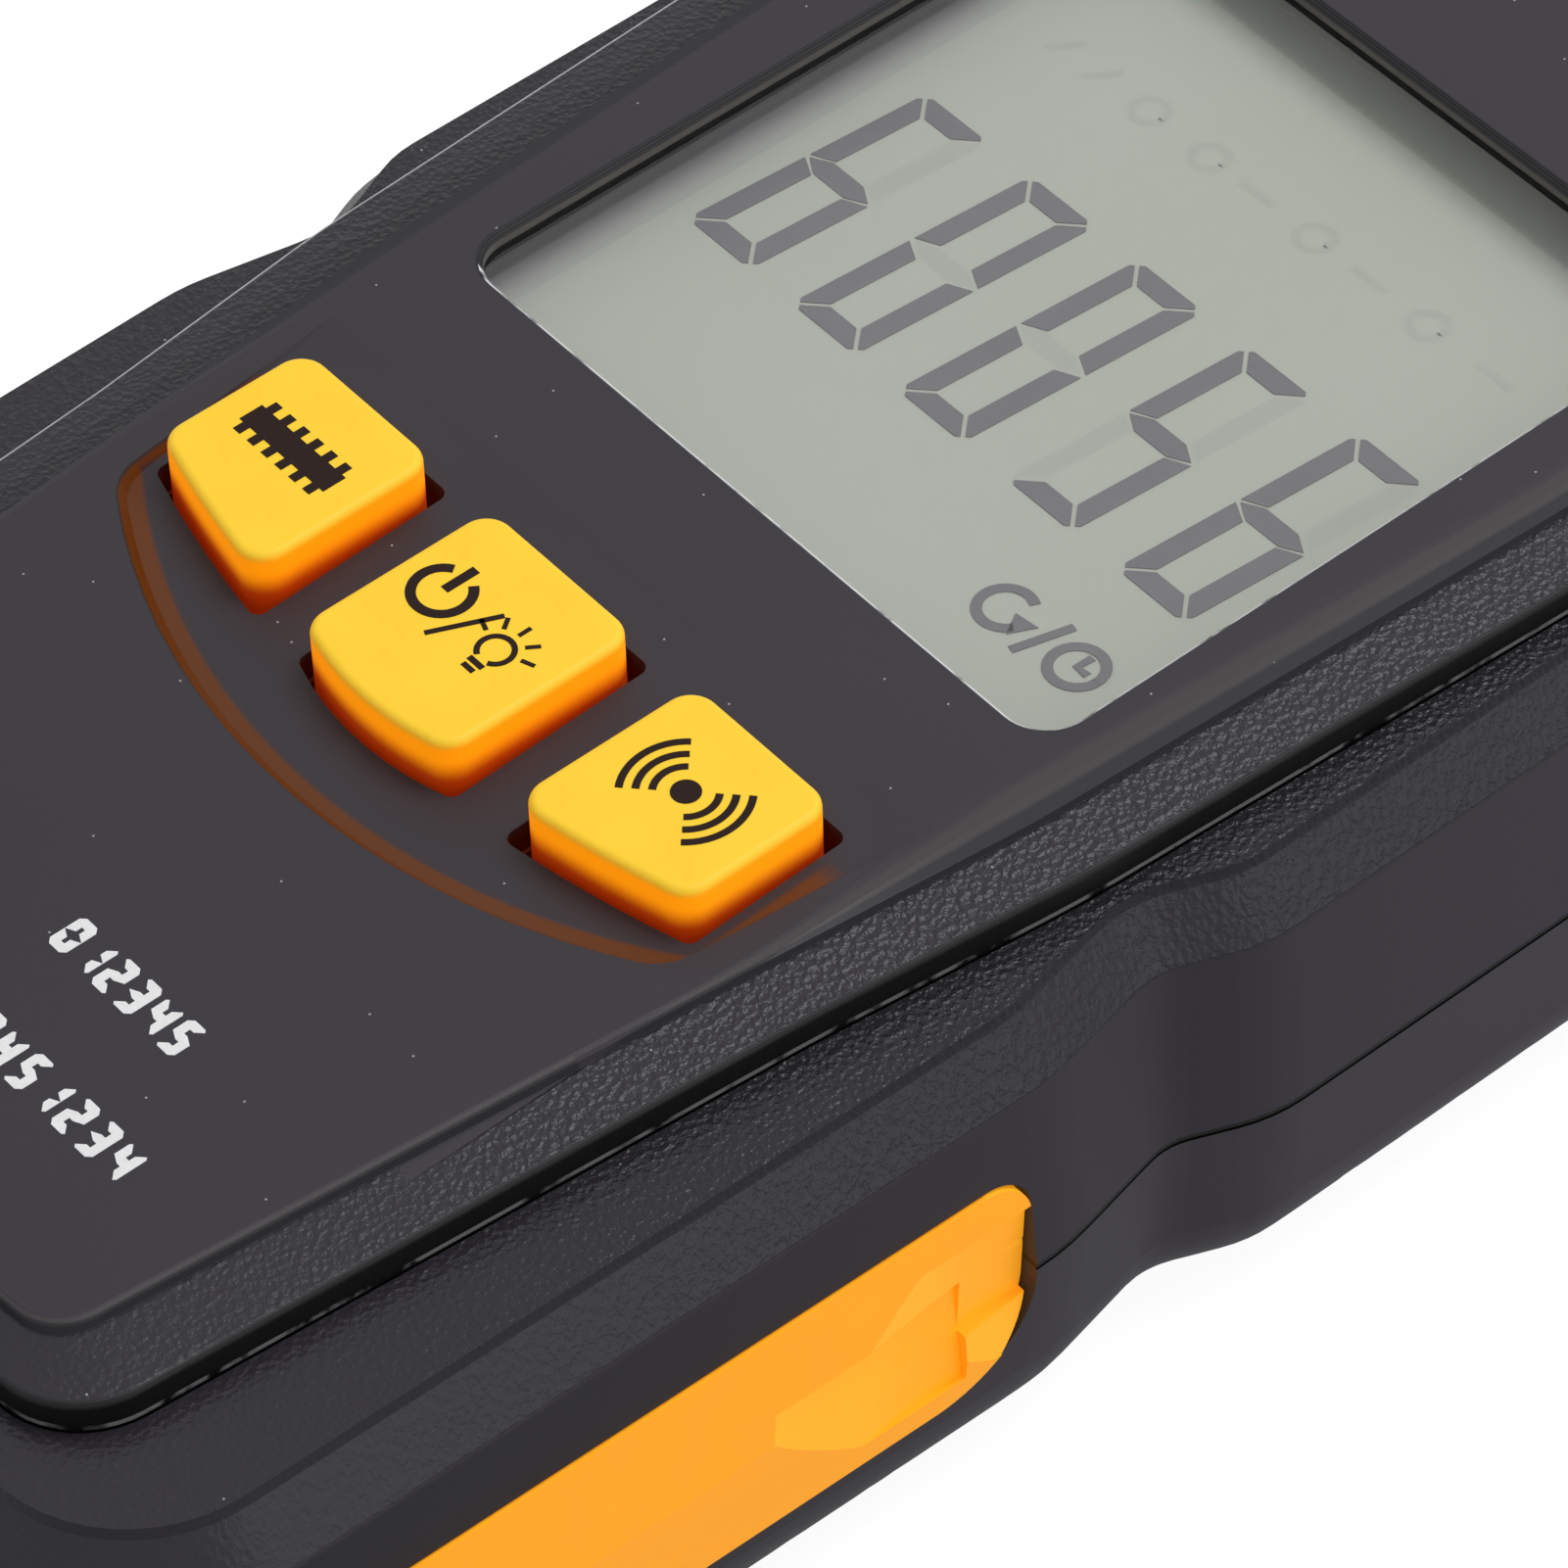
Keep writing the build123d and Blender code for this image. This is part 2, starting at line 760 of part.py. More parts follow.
with BuildPart() as controller_chip:
    with BuildSketch(Plane.XY.offset(board_height)):
        with Locations((0, window_y)):
            Rectangle(chip_size, chip_size)
    extrude(amount=-chip_thickness)
keep(controller_chip, "controller_chip")

# Battery cells and their contacts

cell_places = {"left": (-cell_pitch, False), "middle": (0, True), "right": (cell_pitch, False)}


def along_bay(along, turned_round):
    """Place along the bay, measured from its other end for a cell that is turned round."""
    return tail + (2 * bay_middle - along if turned_round else along)


for name, (across, turned_round) in cell_places.items():
    head_side = -1 if turned_round else 1
    flat_end = along_bay(cell_tail, turned_round)
    with BuildPart() as cell:
        with BuildSketch(Plane.XZ.offset(-flat_end)):
            with Locations((across, cell_height)):
                Circle(cell_radius)
        extrude(amount=-head_side * cell_length)
        fillet(cell.edges(), cell_edge_round)
        with BuildSketch(Plane.XZ.offset(-flat_end - head_side * cell_length)):
            with Locations((across, cell_height)):
                Circle(cell_nub_radius)
        extrude(amount=-head_side * cell_nub_length)
    keep(cell, f"battery_{name}")

    wall_y = along_bay(bay_start, turned_round)
    crest_y = flat_end - head_side * (spring_play + contact_thickness / 2)
    root_y = wall_y + head_side * contact_thickness / 2
    with BuildPart() as spring_contact:
        with BuildSketch(Plane.YZ.offset(across)):
            with BuildLine():
                FilletPolyline(
                    (root_y, cell_height - cell_radius * 0.6),
                    (root_y, bay_top - contact_thickness),
                    (crest_y, cell_height + cell_radius * 0.3),
                    (crest_y, cell_height - cell_radius * 0.3),
                    (root_y + head_side * spring_reach / 2, cell_height - cell_radius * 0.5),
                    radius=spring_bend,
                )
            trace(line_width=contact_thickness)
        extrude(amount=spring_width / 2, both=True)
    keep(spring_contact, f"spring_contact_{name}")

    with BuildPart() as plate_contact:
        with BuildSketch(Plane.XZ.offset(-along_bay(bay_end, turned_round))):
            with Locations((across, cell_height)):
                Rectangle(contact_width, contact_width)
            fillet(vertices(), contact_corner_round)
        extrude(amount=head_side * contact_thickness)
    keep(plate_contact, f"plate_contact_{name}")

# Shells and the sliding battery door


def turned_cut(steps):
    """Room for a turned piece about the spindle's line."""
    with BuildPart(mode=Mode.PRIVATE) as room:
        with BuildSketch(spindle_plane):
            turned(steps)
        revolve(axis=Axis((0, 0, parting_height), (0, 1, 0)))
    return room.part


nose_seat = turned_cut(
    [
        (barrel_start - 1, barrel_inner_radius + barrel_slack),
        (flange_start - barrel_slack, barrel_inner_radius + barrel_slack),
        (flange_start - barrel_slack, flange_radius + barrel_slack),
        (flange_start + flange_length + barrel_slack, flange_radius + barrel_slack),
        (flange_start + flange_length + barrel_slack, barrel_radius + barrel_slack),
        (body_length + 1, barrel_radius + barrel_slack),
    ]
)


def grip_cut(side):
    """Room for one side grip in both shells."""
    with BuildPart(mode=Mode.PRIVATE) as room:
        add(grip_recess)
        add(grip_block(side, grip_slack), mode=Mode.INTERSECT)
    return room.part


grip_seats = [grip_cut(side) for side in (-1, 1)]


def filled(room, start, height, draw):
    """The room less what draw sketches, raised from start by height."""
    with BuildPart(mode=Mode.PRIVATE) as smaller:
        add(room)
        with BuildSketch(Plane.XY.offset(start)) as kept:
            draw()
        extrude(kept.sketch, amount=height, mode=Mode.SUBTRACT)
    return smaller.part


def posts_and_block():
    """Screw posts and the block round the barrel, in an open sketch."""
    length = body_length - nose_block_start
    with Locations(*both_at(post_places)):
        Circle(post_radius)
    with Locations((0, tail + nose_block_start + length / 2)):
        Rectangle(2 * nose_block_half_width, length)


def board_posts():
    """Posts that the circuit board is screwed to, in an open sketch."""
    with Locations(*both_at(board_screw_places)):
        Circle(board_post_radius)


def bay_sides():
    """Side walls of the battery bay, in an open sketch."""
    with Locations(*both_at([(bay_half_width + bay_wall / 2, bay_middle)])):
        Rectangle(bay_wall, bay_end - bay_start + 2 * bay_wall)


with BuildPart() as front_room:
    levels = [(parting_height, back_wall), (deck_bottom, deck_wall)]
    loft(body_sections(levels), ruled=True)
front_space = filled(front_room.part, parting_height, deck_bottom - parting_height, posts_and_block)
front_space = filled(front_space, board_top, deck_bottom - board_top, board_posts)

with BuildPart() as front_shell:
    levels = [
        (parting_height, parting_groove),
        (parting_height + parting_groove, 0),
        (wall_top_height, wall_draft),
        (crease_height, crease_inset),
        (rim_height, rim_inset),
    ]
    loft(body_sections(levels), ruled=True)
    add(front_space, mode=Mode.SUBTRACT)
    with BuildSketch(Plane.XY.offset(deck_top)):
        outline(panel_corners, panel_rounds, -panel_gap)
    extrude(amount=face_height - deck_top, mode=Mode.SUBTRACT)
    with BuildSketch(Plane.XY.offset(parting_height)):
        with Locations(*both_at(post_places)):
            Circle(screw_radius + screw_slack)
    extrude(amount=screw_bite + screw_radius, mode=Mode.SUBTRACT)
    with BuildSketch(Plane.XY.offset(board_top)):
        with Locations(*both_at(board_screw_places)):
            Circle(board_screw_radius + screw_slack)
    extrude(amount=board_screw_bite + board_screw_radius / 2, mode=Mode.SUBTRACT)
    with BuildSketch(Plane.XY.offset(deck_bottom)):
        window_face(display_border + pane_slack)
        key_holes()
    extrude(amount=deck_top - deck_bottom, mode=Mode.SUBTRACT)
    add(nose_seat, mode=Mode.SUBTRACT)
    add(grip_seats, mode=Mode.SUBTRACT)
keep(front_shell, "front_shell")

with BuildPart() as back_form:
    loft(body_sections([(back_rise, back_draft), (parting_height, 0)]), ruled=True)
    fillet(back_form.edges().group_by(Axis.Z)[0], back_round)

with BuildPart() as back_room:
    levels = [(floor_thickness, back_draft + back_wall), (parting_height, back_wall)]
    loft(body_sections(levels), ruled=True)
    fillet(back_room.edges().group_by(Axis.Z)[0], back_round - floor_thickness)

back_space = filled(back_room.part, back_rise, parting_height, posts_and_block)
back_space = filled(back_space, back_rise, parting_height, bay_sides)


def door_block(slack, height):
    """Block that cuts the battery door out of the back, grown by slack."""
    with BuildPart(mode=Mode.PRIVATE) as block:
        with BuildSketch(Plane.XY.offset(-1)):
            length = door_length + slack + 1
            with Locations((0, tail - 1 + length / 2)):
                Rectangle(2 * (door_half_width + slack), length)
        extrude(amount=height + 1)
        with BuildSketch(Plane.XY.offset(-1)):
            length = door_cap_length + slack + 1
            with Locations((0, tail - 1 + length / 2)):
                Rectangle(2 * (door_half_width + tongue_width + slack), length)
        extrude(amount=door_rise + slack + 1)
    return block.part


with BuildPart() as back_shell:
    add(back_form.part)
    add(back_space, mode=Mode.SUBTRACT)
    with BuildSketch(Plane.XY.offset(parting_height)):
        bay_sides()
    extrude(amount=bay_top - parting_height)
    end_walls = (
        (bay_start - bay_wall / 2, door_rise + door_slack),
        (bay_end + bay_wall / 2, floor_thickness + tongue_slack + tongue_thickness + door_slack),
    )
    for place, lower_edge in end_walls:
        with BuildSketch(Plane.XY.offset(lower_edge)):
            with Locations((0, tail + place)):
                Rectangle(2 * bay_half_width + bay_wall, bay_wall)
        extrude(amount=bay_top - lower_edge)
    add(door_block(door_slack, floor_thickness + door_slack), mode=Mode.SUBTRACT)
    with BuildSketch(Plane.XY.offset(back_rise)):
        with Locations(*both_at(post_places)):
            Circle(screw_head_radius + screw_head_slack)
    extrude(amount=screw_seat, mode=Mode.SUBTRACT)
    with BuildSketch(Plane.XY.offset(back_rise)):
        with Locations(*both_at(post_places)):
            Circle(screw_radius + screw_slack)
    extrude(amount=parting_height, mode=Mode.SUBTRACT)
    add(nose_seat, mode=Mode.SUBTRACT)
    add(grip_seats, mode=Mode.SUBTRACT)
keep(back_shell, "back_shell")

with BuildPart() as battery_door:
    add(back_form.part)
    add(back_room.part, mode=Mode.SUBTRACT)
    add(door_block(0, floor_thickness), mode=Mode.INTERSECT)
    tongue_floor = floor_thickness + tongue_slack
    tongue_top = tongue_floor + tongue_thickness
    for side in (-1, 1):
        with BuildSketch(Plane.XZ.offset(-(tail + door_cap_length - 1))):
            with BuildLine():
                Polyline(
                    (side * (door_half_width - tongue_root), floor_thickness),
                    (side * door_half_width, floor_thickness),
                    (side * door_half_width, tongue_floor),
                    (side * (door_half_width + tongue_width), tongue_floor),
                    (side * (door_half_width + tongue_width), tongue_top),
                    (side * (door_half_width - tongue_root), tongue_top),
                    close=True,
                )
            make_face()
        extrude(amount=-(door_length - door_cap_length))
    with BuildSketch(Plane.XY):
        for groove in range(thumb_groove_count):
            with Locations((0, tail + thumb_start + groove * thumb_groove_pitch)):
                SlotOverall(thumb_groove_length, thumb_groove_width)
    extrude(amount=thumb_groove_depth, mode=Mode.SUBTRACT)
keep(battery_door, "battery_door")

# Screws, each kind as one group


def screw_row(places, seat, head_radius, head_length, shank_radius, shank_length):
    """Screws with a slotted cross in their heads, their shanks pointing up the Z axis."""
    for place in places:
        with Locations((*place, seat - head_length)):
            Cylinder(head_radius, head_length, align=(Align.CENTER, Align.CENTER, Align.MIN))
        with Locations((*place, seat)):
            Cylinder(shank_radius, shank_length, align=(Align.CENTER, Align.CENTER, Align.MIN))
        with Locations((*place, seat - head_length)):
            for turn in (0, 90):
                Box(
                    head_radius * 1.2,
                    driver_slot_width,
                    head_length / 2,
                    rotation=(0, 0, turn),
                    align=(Align.CENTER, Align.CENTER, Align.MIN),
                    mode=Mode.SUBTRACT,
                )


with BuildPart() as case_screws:
    screw_row(
        both_at(post_places),
        screw_seat,
        screw_head_radius,
        screw_head_length,
        screw_radius,
        parting_height + screw_bite - screw_seat,
    )
keep(case_screws, "case_screws")

with BuildPart() as board_screws:
    screw_row(
        both_at(board_screw_places),
        board_height,
        board_screw_head_radius,
        board_screw_head_length,
        board_screw_radius,
        board_thickness + board_screw_bite,
    )
keep(board_screws, "board_screws")

print(len(made), "pieces; whole length", round(tip_end, 2), "mm")
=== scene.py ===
# %% [markdown]
# # A contact tachometer, dressed in Blender
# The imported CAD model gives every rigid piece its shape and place.
# This notebook adds the looks: camera, light, the finish of each surface, the signs printed on
# the keys and the reading on the display.
# Sizes are written in millimetres and turned into metres with MM.

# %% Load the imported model
import math
import bpy
from mathutils import Matrix, Vector


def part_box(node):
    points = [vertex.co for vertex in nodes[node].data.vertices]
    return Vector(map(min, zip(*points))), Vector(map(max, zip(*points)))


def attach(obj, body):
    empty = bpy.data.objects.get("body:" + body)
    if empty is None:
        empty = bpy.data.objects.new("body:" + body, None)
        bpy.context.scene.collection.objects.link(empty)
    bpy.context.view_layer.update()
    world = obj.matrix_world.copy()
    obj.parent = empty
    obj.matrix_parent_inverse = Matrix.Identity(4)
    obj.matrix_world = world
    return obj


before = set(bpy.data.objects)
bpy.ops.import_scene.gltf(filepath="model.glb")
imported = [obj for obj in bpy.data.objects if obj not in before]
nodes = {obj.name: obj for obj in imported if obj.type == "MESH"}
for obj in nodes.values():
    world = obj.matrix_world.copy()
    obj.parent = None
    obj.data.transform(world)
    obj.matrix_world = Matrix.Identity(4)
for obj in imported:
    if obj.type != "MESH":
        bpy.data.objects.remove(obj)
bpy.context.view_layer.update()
MM = 0.001

pane_low, pane_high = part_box("window_pane")
panel_low, panel_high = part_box("face_panel")
window_middle = (pane_low + pane_high) / 2
face_z = panel_high.z
print(len(nodes), "pieces; the face lies", round(face_z / MM, 2), "mm above the table")

# %% [markdown]
# ## Camera
# The photograph is a close view with a long lens, so its perspective is weak.
# Its four window edges run towards two vanishing points, and those give the lens and the tilt.
# The eye is placed from the middle of the display window, so it follows the model's own sizes.

# %% Camera
PHOTO_PIXELS = 1601
FOCAL_PIXELS = 8509.3
SENSOR = 36.0
SIGHT_RIGHT = Vector((0.64455, 0.76423, -0.02251))
SIGHT_UP = Vector((-0.55684, 0.48941, 0.67113))
EYE_FROM_WINDOW = Vector((173.9, -155.4, 228.2)) * MM

camera_data = bpy.data.cameras.new("camera")
camera_data.sensor_width = SENSOR
camera_data.lens = SENSOR * FOCAL_PIXELS / PHOTO_PIXELS
camera_data.clip_start = 0.01
camera = bpy.data.objects.new("camera", camera_data)
sight_back = SIGHT_RIGHT.cross(SIGHT_UP)
eye = Vector((window_middle.x, window_middle.y, face_z)) + EYE_FROM_WINDOW
turn = Matrix((SIGHT_RIGHT, SIGHT_UP, sight_back)).transposed().to_4x4()
camera.matrix_world = Matrix.Translation(eye) @ turn
bpy.context.scene.collection.objects.link(camera)
bpy.context.scene.camera = camera
print("lens", round(camera_data.lens, 1), "mm; eye at", [round(c / MM) for c in eye], "mm")

# %% [markdown]
# ## Signals and shader nodes
# A procedural finish is a sum of patterns, and sums are easiest to read as Python.
# `Signal` wraps the output of a node, so that `0.4 + grain * 0.1` adds its Math nodes by itself.
# Any other node comes from its one method `node`: settings first, then what feeds its sockets.


# %% A socket that Python can do sums with
class Signal:
    """The output of a shader node, with operators that add Math nodes."""

    def __init__(self, tree, socket=None):
        self.tree = tree
        self.socket = socket

    def node(self, kind, settings=None, sockets=None, output=0):
        """Add a node, set it, feed its sockets with values or signals, and return an output."""
        new = self.tree.nodes.new("ShaderNode" + kind)
        for name, value in (settings or {}).items():
            setattr(new, name, value)
        for name, value in (sockets or {}).items():
            if isinstance(value, Signal):
                self.tree.links.new(value.socket, new.inputs[name])
            else:
                new.inputs[name].default_value = value
        return Signal(self.tree, new.outputs[output])

    def sum(self, operation, first, second):
        """Add a Math node; first and second are numbers or signals."""
        return self.node("Math", {"operation": operation}, {0: first, 1: second})

    def __add__(self, other):
        return self.sum("ADD", self, other)

    def __radd__(self, other):
        return self.sum("ADD", other, self)

    def __sub__(self, other):
        return self.sum("SUBTRACT", self, other)

    def __rsub__(self, other):
        return self.sum("SUBTRACT", other, self)

    def __mul__(self, other):
        return self.sum("MULTIPLY", self, other)

    def __rmul__(self, other):
        return self.sum("MULTIPLY", other, self)

    def __truediv__(self, other):
        return self.sum("DIVIDE", self, other)

    def __pow__(self, other):
        return self.sum("POWER", self, other)


print("Signal is ready")

# %% [markdown]
# ## Patterns
# Every finish reads the place of a point on the model in metres, so a pattern keeps its real
# scale on each piece: the skin of a moulding has blots of a tenth of a millimetre, and its
# gloss changes slowly, over a centimetre. Masks are steps between two values of a height or a
# place. A product of masks is 1 only where each of them is 1.


# %% Patterns and blends
def new_finish(name, colour, roughness):
    """A material with one Principled shader, and a signal to build its patterns from."""
    material = bpy.data.materials.new(name)
    material.use_nodes = True
    tree = material.node_tree
    shader = tree.nodes["Principled BSDF"]
    shader.inputs["Base Color"].default_value = (*colour, 1)
    shader.inputs["Roughness"].default_value = roughness
    return material, shader, Signal(tree)


def place_of(start):
    """The place of each point, in metres, in the frame of the model."""
    return start.node("TexCoord", output="Object")


def axis_of(place, axis):
    """One of X, Y and Z of a place or a direction."""
    return place.node("SeparateXYZ", sockets={0: place}, output=axis)


def facing_of(start, axis="Z"):
    """How far each point of the surface faces up, or along another axis: 1 is fully."""
    return axis_of(start.node("NewGeometry", output="Normal"), axis)


def noise(place, size, detail=2.0, rough=0.5):
    """Soft cloudy noise whose blots are about size metres wide."""
    values = {"Vector": place, "Scale": 1 / size, "Detail": detail, "Roughness": rough}
    return place.node("TexNoise", sockets=values)


def pebbles(place, size):
    """Rounded cells about size metres wide as seen from above, 0 at their middles."""
    settings = {"voronoi_dimensions": "2D"}
    return place.node("TexVoronoi", settings, {"Vector": place, "Scale": 1 / size})


def flecks(place, spacing, radius):
    """1 in tiny spots on the surfaces that face up, about one to each square of the spacing."""
    away = pebbles(place, spacing) * spacing
    return (1 - step_up(away, radius * 0.7, radius * 1.3)) * step_up(facing_of(place), 0.6, 0.8)


def step_up(signal, low, high):
    """0 below low, 1 above high, smooth in between."""
    settings = {"interpolation_type": "SMOOTHSTEP"}
    return signal.node("MapRange", settings, {"Value": signal, "From Min": low, "From Max": high})


def between(signal, low, high, edge):
    """1 from low to high, falling to 0 over edge on both sides."""
    return step_up(signal, low - edge, low) * (1 - step_up(signal, high, high + edge))


def size_of(signal):
    """The signal without its sign."""
    return signal.node("Math", {"operation": "ABSOLUTE"}, {0: signal})


def inside(signal, half):
    """1 where the signal is between -half and half, with an edge 0.1 mm wide."""
    return 1 - step_up(size_of(signal), half, half + 0.1 * MM)


def fraction_of(signal):
    """The part after the decimal point, which runs from 0 to 1 again and again."""
    return signal.node("Math", {"operation": "FRACT"}, {0: signal})


def mix_colour(amount, first, second):
    """Blend from the first colour to the second."""
    values = {0: amount, 6: first, 7: second}
    return amount.node("Mix", {"data_type": "RGBA"}, values, output=2)


def shade(colour, light):
    """The colour made lighter or darker, as the four numbers that a socket takes."""
    return (colour[0] * light, colour[1] * light, colour[2] * light, 1)


def feed(shader, signal, socket):
    """Link a signal to a socket of a shader."""
    signal.tree.links.new(signal.socket, shader.inputs[socket])


def bump(height, depth):
    """A normal from a height signal; depth is in metres."""
    return height.node("Bump", sockets={"Height": height, "Strength": 1.0, "Distance": depth})


def dress(material, *names):
    """Give a finish to CAD pieces."""
    for name in names:
        nodes[name].data.materials.clear()
        nodes[name].data.materials.append(material)


print("patterns are ready")

# %% [markdown]
# ## Moulded plastic of the case
# The case is dark plastic. Its mould was spark eroded on the two sloping bands only, so they
# carry rounded pebbles about a third of a millimetre wide and catch more light. The flat
# face, the strip round it and the walls have a skin so fine that it only softens reflections.
# One function makes every part of the case: the coarse grain is added where a mask allows it,
# and the mask is read from the height, because each band has a height range of its own.
# Hands have rubbed the grain of the handle down, so it gets shallower towards the tail. A dark
# line marks the joint of the two shells. The walls have painted shade at the tail and painted
# light towards the head, and the strip on the right side has painted shade that fades out
# towards the tail.


# %% Dark plastic with a grain
SHELL_DARK = (0.031, 0.0272, 0.0355)
# Dust flecks, and also the colour of a painted highlight on the face panel
DUST_AND_HIGHLIGHT = (0.4, 0.4, 0.4, 1)
DULL = 0.3
SKIN_SIZE = 0.13 * MM
FLOW_SIZE = 11 * MM
PEBBLE_SIZE = 0.34 * MM
GRAIN_SIZE = 0.2 * MM
GRAIN_DEPTH = 0.045 * MM
GRAIN_DARKER = 0.75
WORN_TO, WORN_FROM = -70 * MM, -35 * MM
LEFT_OF_GRAIN = 0.4
FLECK_SPACING = 6 * MM
FLECK_RADIUS = 0.045 * MM


def dark_plastic(name, colour, roughness, coarse=None):
    """Dark moulded plastic; coarse(place) says where the eroded grain is.

    Returns the material, its shader, the place and the tint so far.
    """
    material, shader, start = new_finish(name, colour, roughness)
    place = place_of(start)
    skin = noise(place, SKIN_SIZE, 0.0)
    flow = noise(place, FLOW_SIZE, 0.0)
    height = skin * 0.1
    gloss = (flow - 0.5) * 0.08 + roughness + skin * 0.04
    tint = mix_colour(flow, shade(colour, 0.93), shade(colour, 1.07))
    shader.inputs["Specular IOR Level"].default_value = DULL
    if coarse is not None:
        mask = coarse(place)
        unworn = step_up(axis_of(place, "Y"), WORN_TO, WORN_FROM)
        depth = LEFT_OF_GRAIN + unworn * (1 - LEFT_OF_GRAIN)
        eroded = pebbles(place, PEBBLE_SIZE) + noise(place, GRAIN_SIZE, 1.0, 0.6) * 1.2
        height = height + eroded * mask * depth
        gloss = gloss - mask * 0.18
        tint = mix_colour(mask, tint, shade(colour, GRAIN_DARKER))
    feed(shader, bump(height, GRAIN_DEPTH), "Normal")
    feed(shader, gloss, "Roughness")
    dusty = mix_colour(flecks(place, FLECK_SPACING, FLECK_RADIUS), tint, DUST_AND_HIGHLIGHT)
    return material, shader, place, dusty


print("dark plastic can carry a grain")

# %% The case
# Painted shade for the strip, the walls and the step, and painted light for the walls
SHADED = (0.014, 0.0125, 0.016, 1)
WALL_LIT = (0.041, 0.034, 0.05, 1)
JOINT_BLACK = (0.002, 0.002, 0.002, 1)
JOINT = 11.35 * MM
JOINT_GAP = 0.3 * MM
BAND_FOOT = 20.55 * MM
POCKET_TOP = 23.2 * MM
SLOPE_TOP, SLOPE_FOOT = 0.43 * MM, 0.72 * MM
KEYS_HALF = 17.95 * MM
KEYS_REACH = 40 * MM
DARK_TAIL = -75 * MM
STRIP_DARKEST = -30 * MM
panel_middle = (panel_low + panel_high) / 2


def band_of_shell(place):
    """The sloping band round the top of the case."""
    return between(axis_of(place, "Z"), BAND_FOOT, POCKET_TOP, 0.1 * MM)


def band_of_panel(place):
    """The slope round the panel, but not the recess of the keys, which is at the same height."""
    along = size_of(axis_of(place, "Y") - panel_middle.y)
    by_keys = inside(axis_of(place, "X"), KEYS_HALF)
    by_keys = by_keys * (1 - step_up(along, KEYS_REACH, KEYS_REACH + 1 * MM))
    height = axis_of(place, "Z")
    slope = between(height, face_z - SLOPE_FOOT, face_z - SLOPE_TOP, 0.03 * MM)
    return slope * (1 - by_keys)


shell_finish, shader, place, tint = dark_plastic("shell_finish", SHELL_DARK, 0.44, band_of_shell)
across, along, height = axis_of(place, "X"), axis_of(place, "Y"), axis_of(place, "Z")
# Painted shade on the strip of the right side, fading out towards the tail
strip = step_up(height, POCKET_TOP - 0.5 * MM, POCKET_TOP - 0.2 * MM)
strip = strip * step_up(along, DARK_TAIL, STRIP_DARKEST) * step_up(across, -1 * MM, 1 * MM)
tint = mix_colour(strip * 0.8, tint, SHADED)
# Painted shade on the walls at the tail, turning to painted light towards the head
wall = 1 - step_up(height, BAND_FOOT - 0.3 * MM, BAND_FOOT - 0.1 * MM)
to_head = step_up(along, DARK_TAIL, 0.0)
tint = mix_colour(wall, tint, mix_colour(to_head, SHADED, WALL_LIT))
joint = between(height, JOINT, JOINT + JOINT_GAP, 0.04 * MM)
tint = mix_colour(joint, tint, JOINT_BLACK)
feed(shader, tint, "Base Color")
dress(shell_finish, "front_shell", "back_shell", "battery_door")
nose_finish, shader, place, tint = dark_plastic("nose_finish", SHELL_DARK, 0.4)
feed(shader, tint, "Base Color")
dress(nose_finish, "nose_housing")
print("case dressed")

# %% [markdown]
# The face panel has marks of its own, and each is a mask made of places and heights.
# Its rolled edge has a painted highlight on the right side and ends at a step in painted shade,
# which reaches deeper on the left, where the rim has a painted highlight. The panel's wall below
# the seam has painted shade, a thin broken painted highlight near its foot and, by the recess, a
# fainter painted reflection of the keys. Along the edge of the recess lies a painted reflection
# of the orange keys, a millimetre wide. Two edges of the window have a broken bright painted
# highlight on painted shade, and the other two have painted shade with painted light and shade
# in fine ribs.

# %% Face panel: colours and sizes
KEYS_END = pane_low.y - 2 * MM
# Painted reflection, highlight, deep shade, light on ribs and highlight on the rolled edge
KEY_REFLECTION = (0.12, 0.03, 0.0, 1)
BRIGHT = (0.75, 0.75, 0.78, 1)
DEEP_SHADE = (0.003, 0.003, 0.0035, 1)
RIB_LIGHT = (0.13, 0.12, 0.115, 1)
ROLLED_HIGHLIGHT = (0.048, 0.043, 0.046, 1)
RECESS_MIDDLE = Vector((0, -18.25, 24.9)) * MM
RECESS_RADIUS = 30.6 * MM
RECESS_HALF = 17.8 * MM
WINDOW_HALF = 17.75 * MM
WINDOW_END = 9.3 * MM
RIGHT_EDGE = 16.9 * MM
LOWER_EDGE = window_middle.y - 17.3 * MM
RIB = 0.1 * MM
GLOW_WIDTH = 1.1 * MM
GLOW_FADES = (-37 * MM, -35.5 * MM)
# How far below the face each of these begins and ends
ROLL = (0.03 * MM, 0.075 * MM)
STEP = (0.1 * MM, 0.42 * MM)
STEP_FOOT = (0.42 * MM, 0.54 * MM)
SEAM = (0.72 * MM, 0.78 * MM)
FAR_RIM = (0.76 * MM, 1.0 * MM)
WALL_FOOT = face_z - POCKET_TOP
print("the panel's wall ends", round(WALL_FOOT / MM, 2), "mm below the face")

# %% Face panel: edge, step and seam
panel_finish, shader, place, tint = dark_plastic("panel_finish", SHELL_DARK, 0.46, band_of_panel)
across, along, height = axis_of(place, "X"), axis_of(place, "Y"), axis_of(place, "Z")
drop = face_z - height

below_window = 1 - step_up(along, KEYS_END - 0.1 * MM, KEYS_END)
near_recess = inside(across, RECESS_HALF + 0.2 * MM) * below_window
near_recess = near_recess * inside(along - RECESS_MIDDLE.y, RECESS_RADIUS)
edge_of_panel = 1 - near_recess
right_half = step_up(across, -1 * MM, 1 * MM)
# Painted highlight on the rolled edge of the right side
rolled = between(drop, *ROLL, 0.02 * MM) * edge_of_panel * right_half
# Painted shade in the step, reaching deeper on the left side
step = between(drop, *STEP, 0.02 * MM) * edge_of_panel
step = step + between(drop, *STEP_FOOT, 0.03 * MM) * edge_of_panel * (1 - right_half)
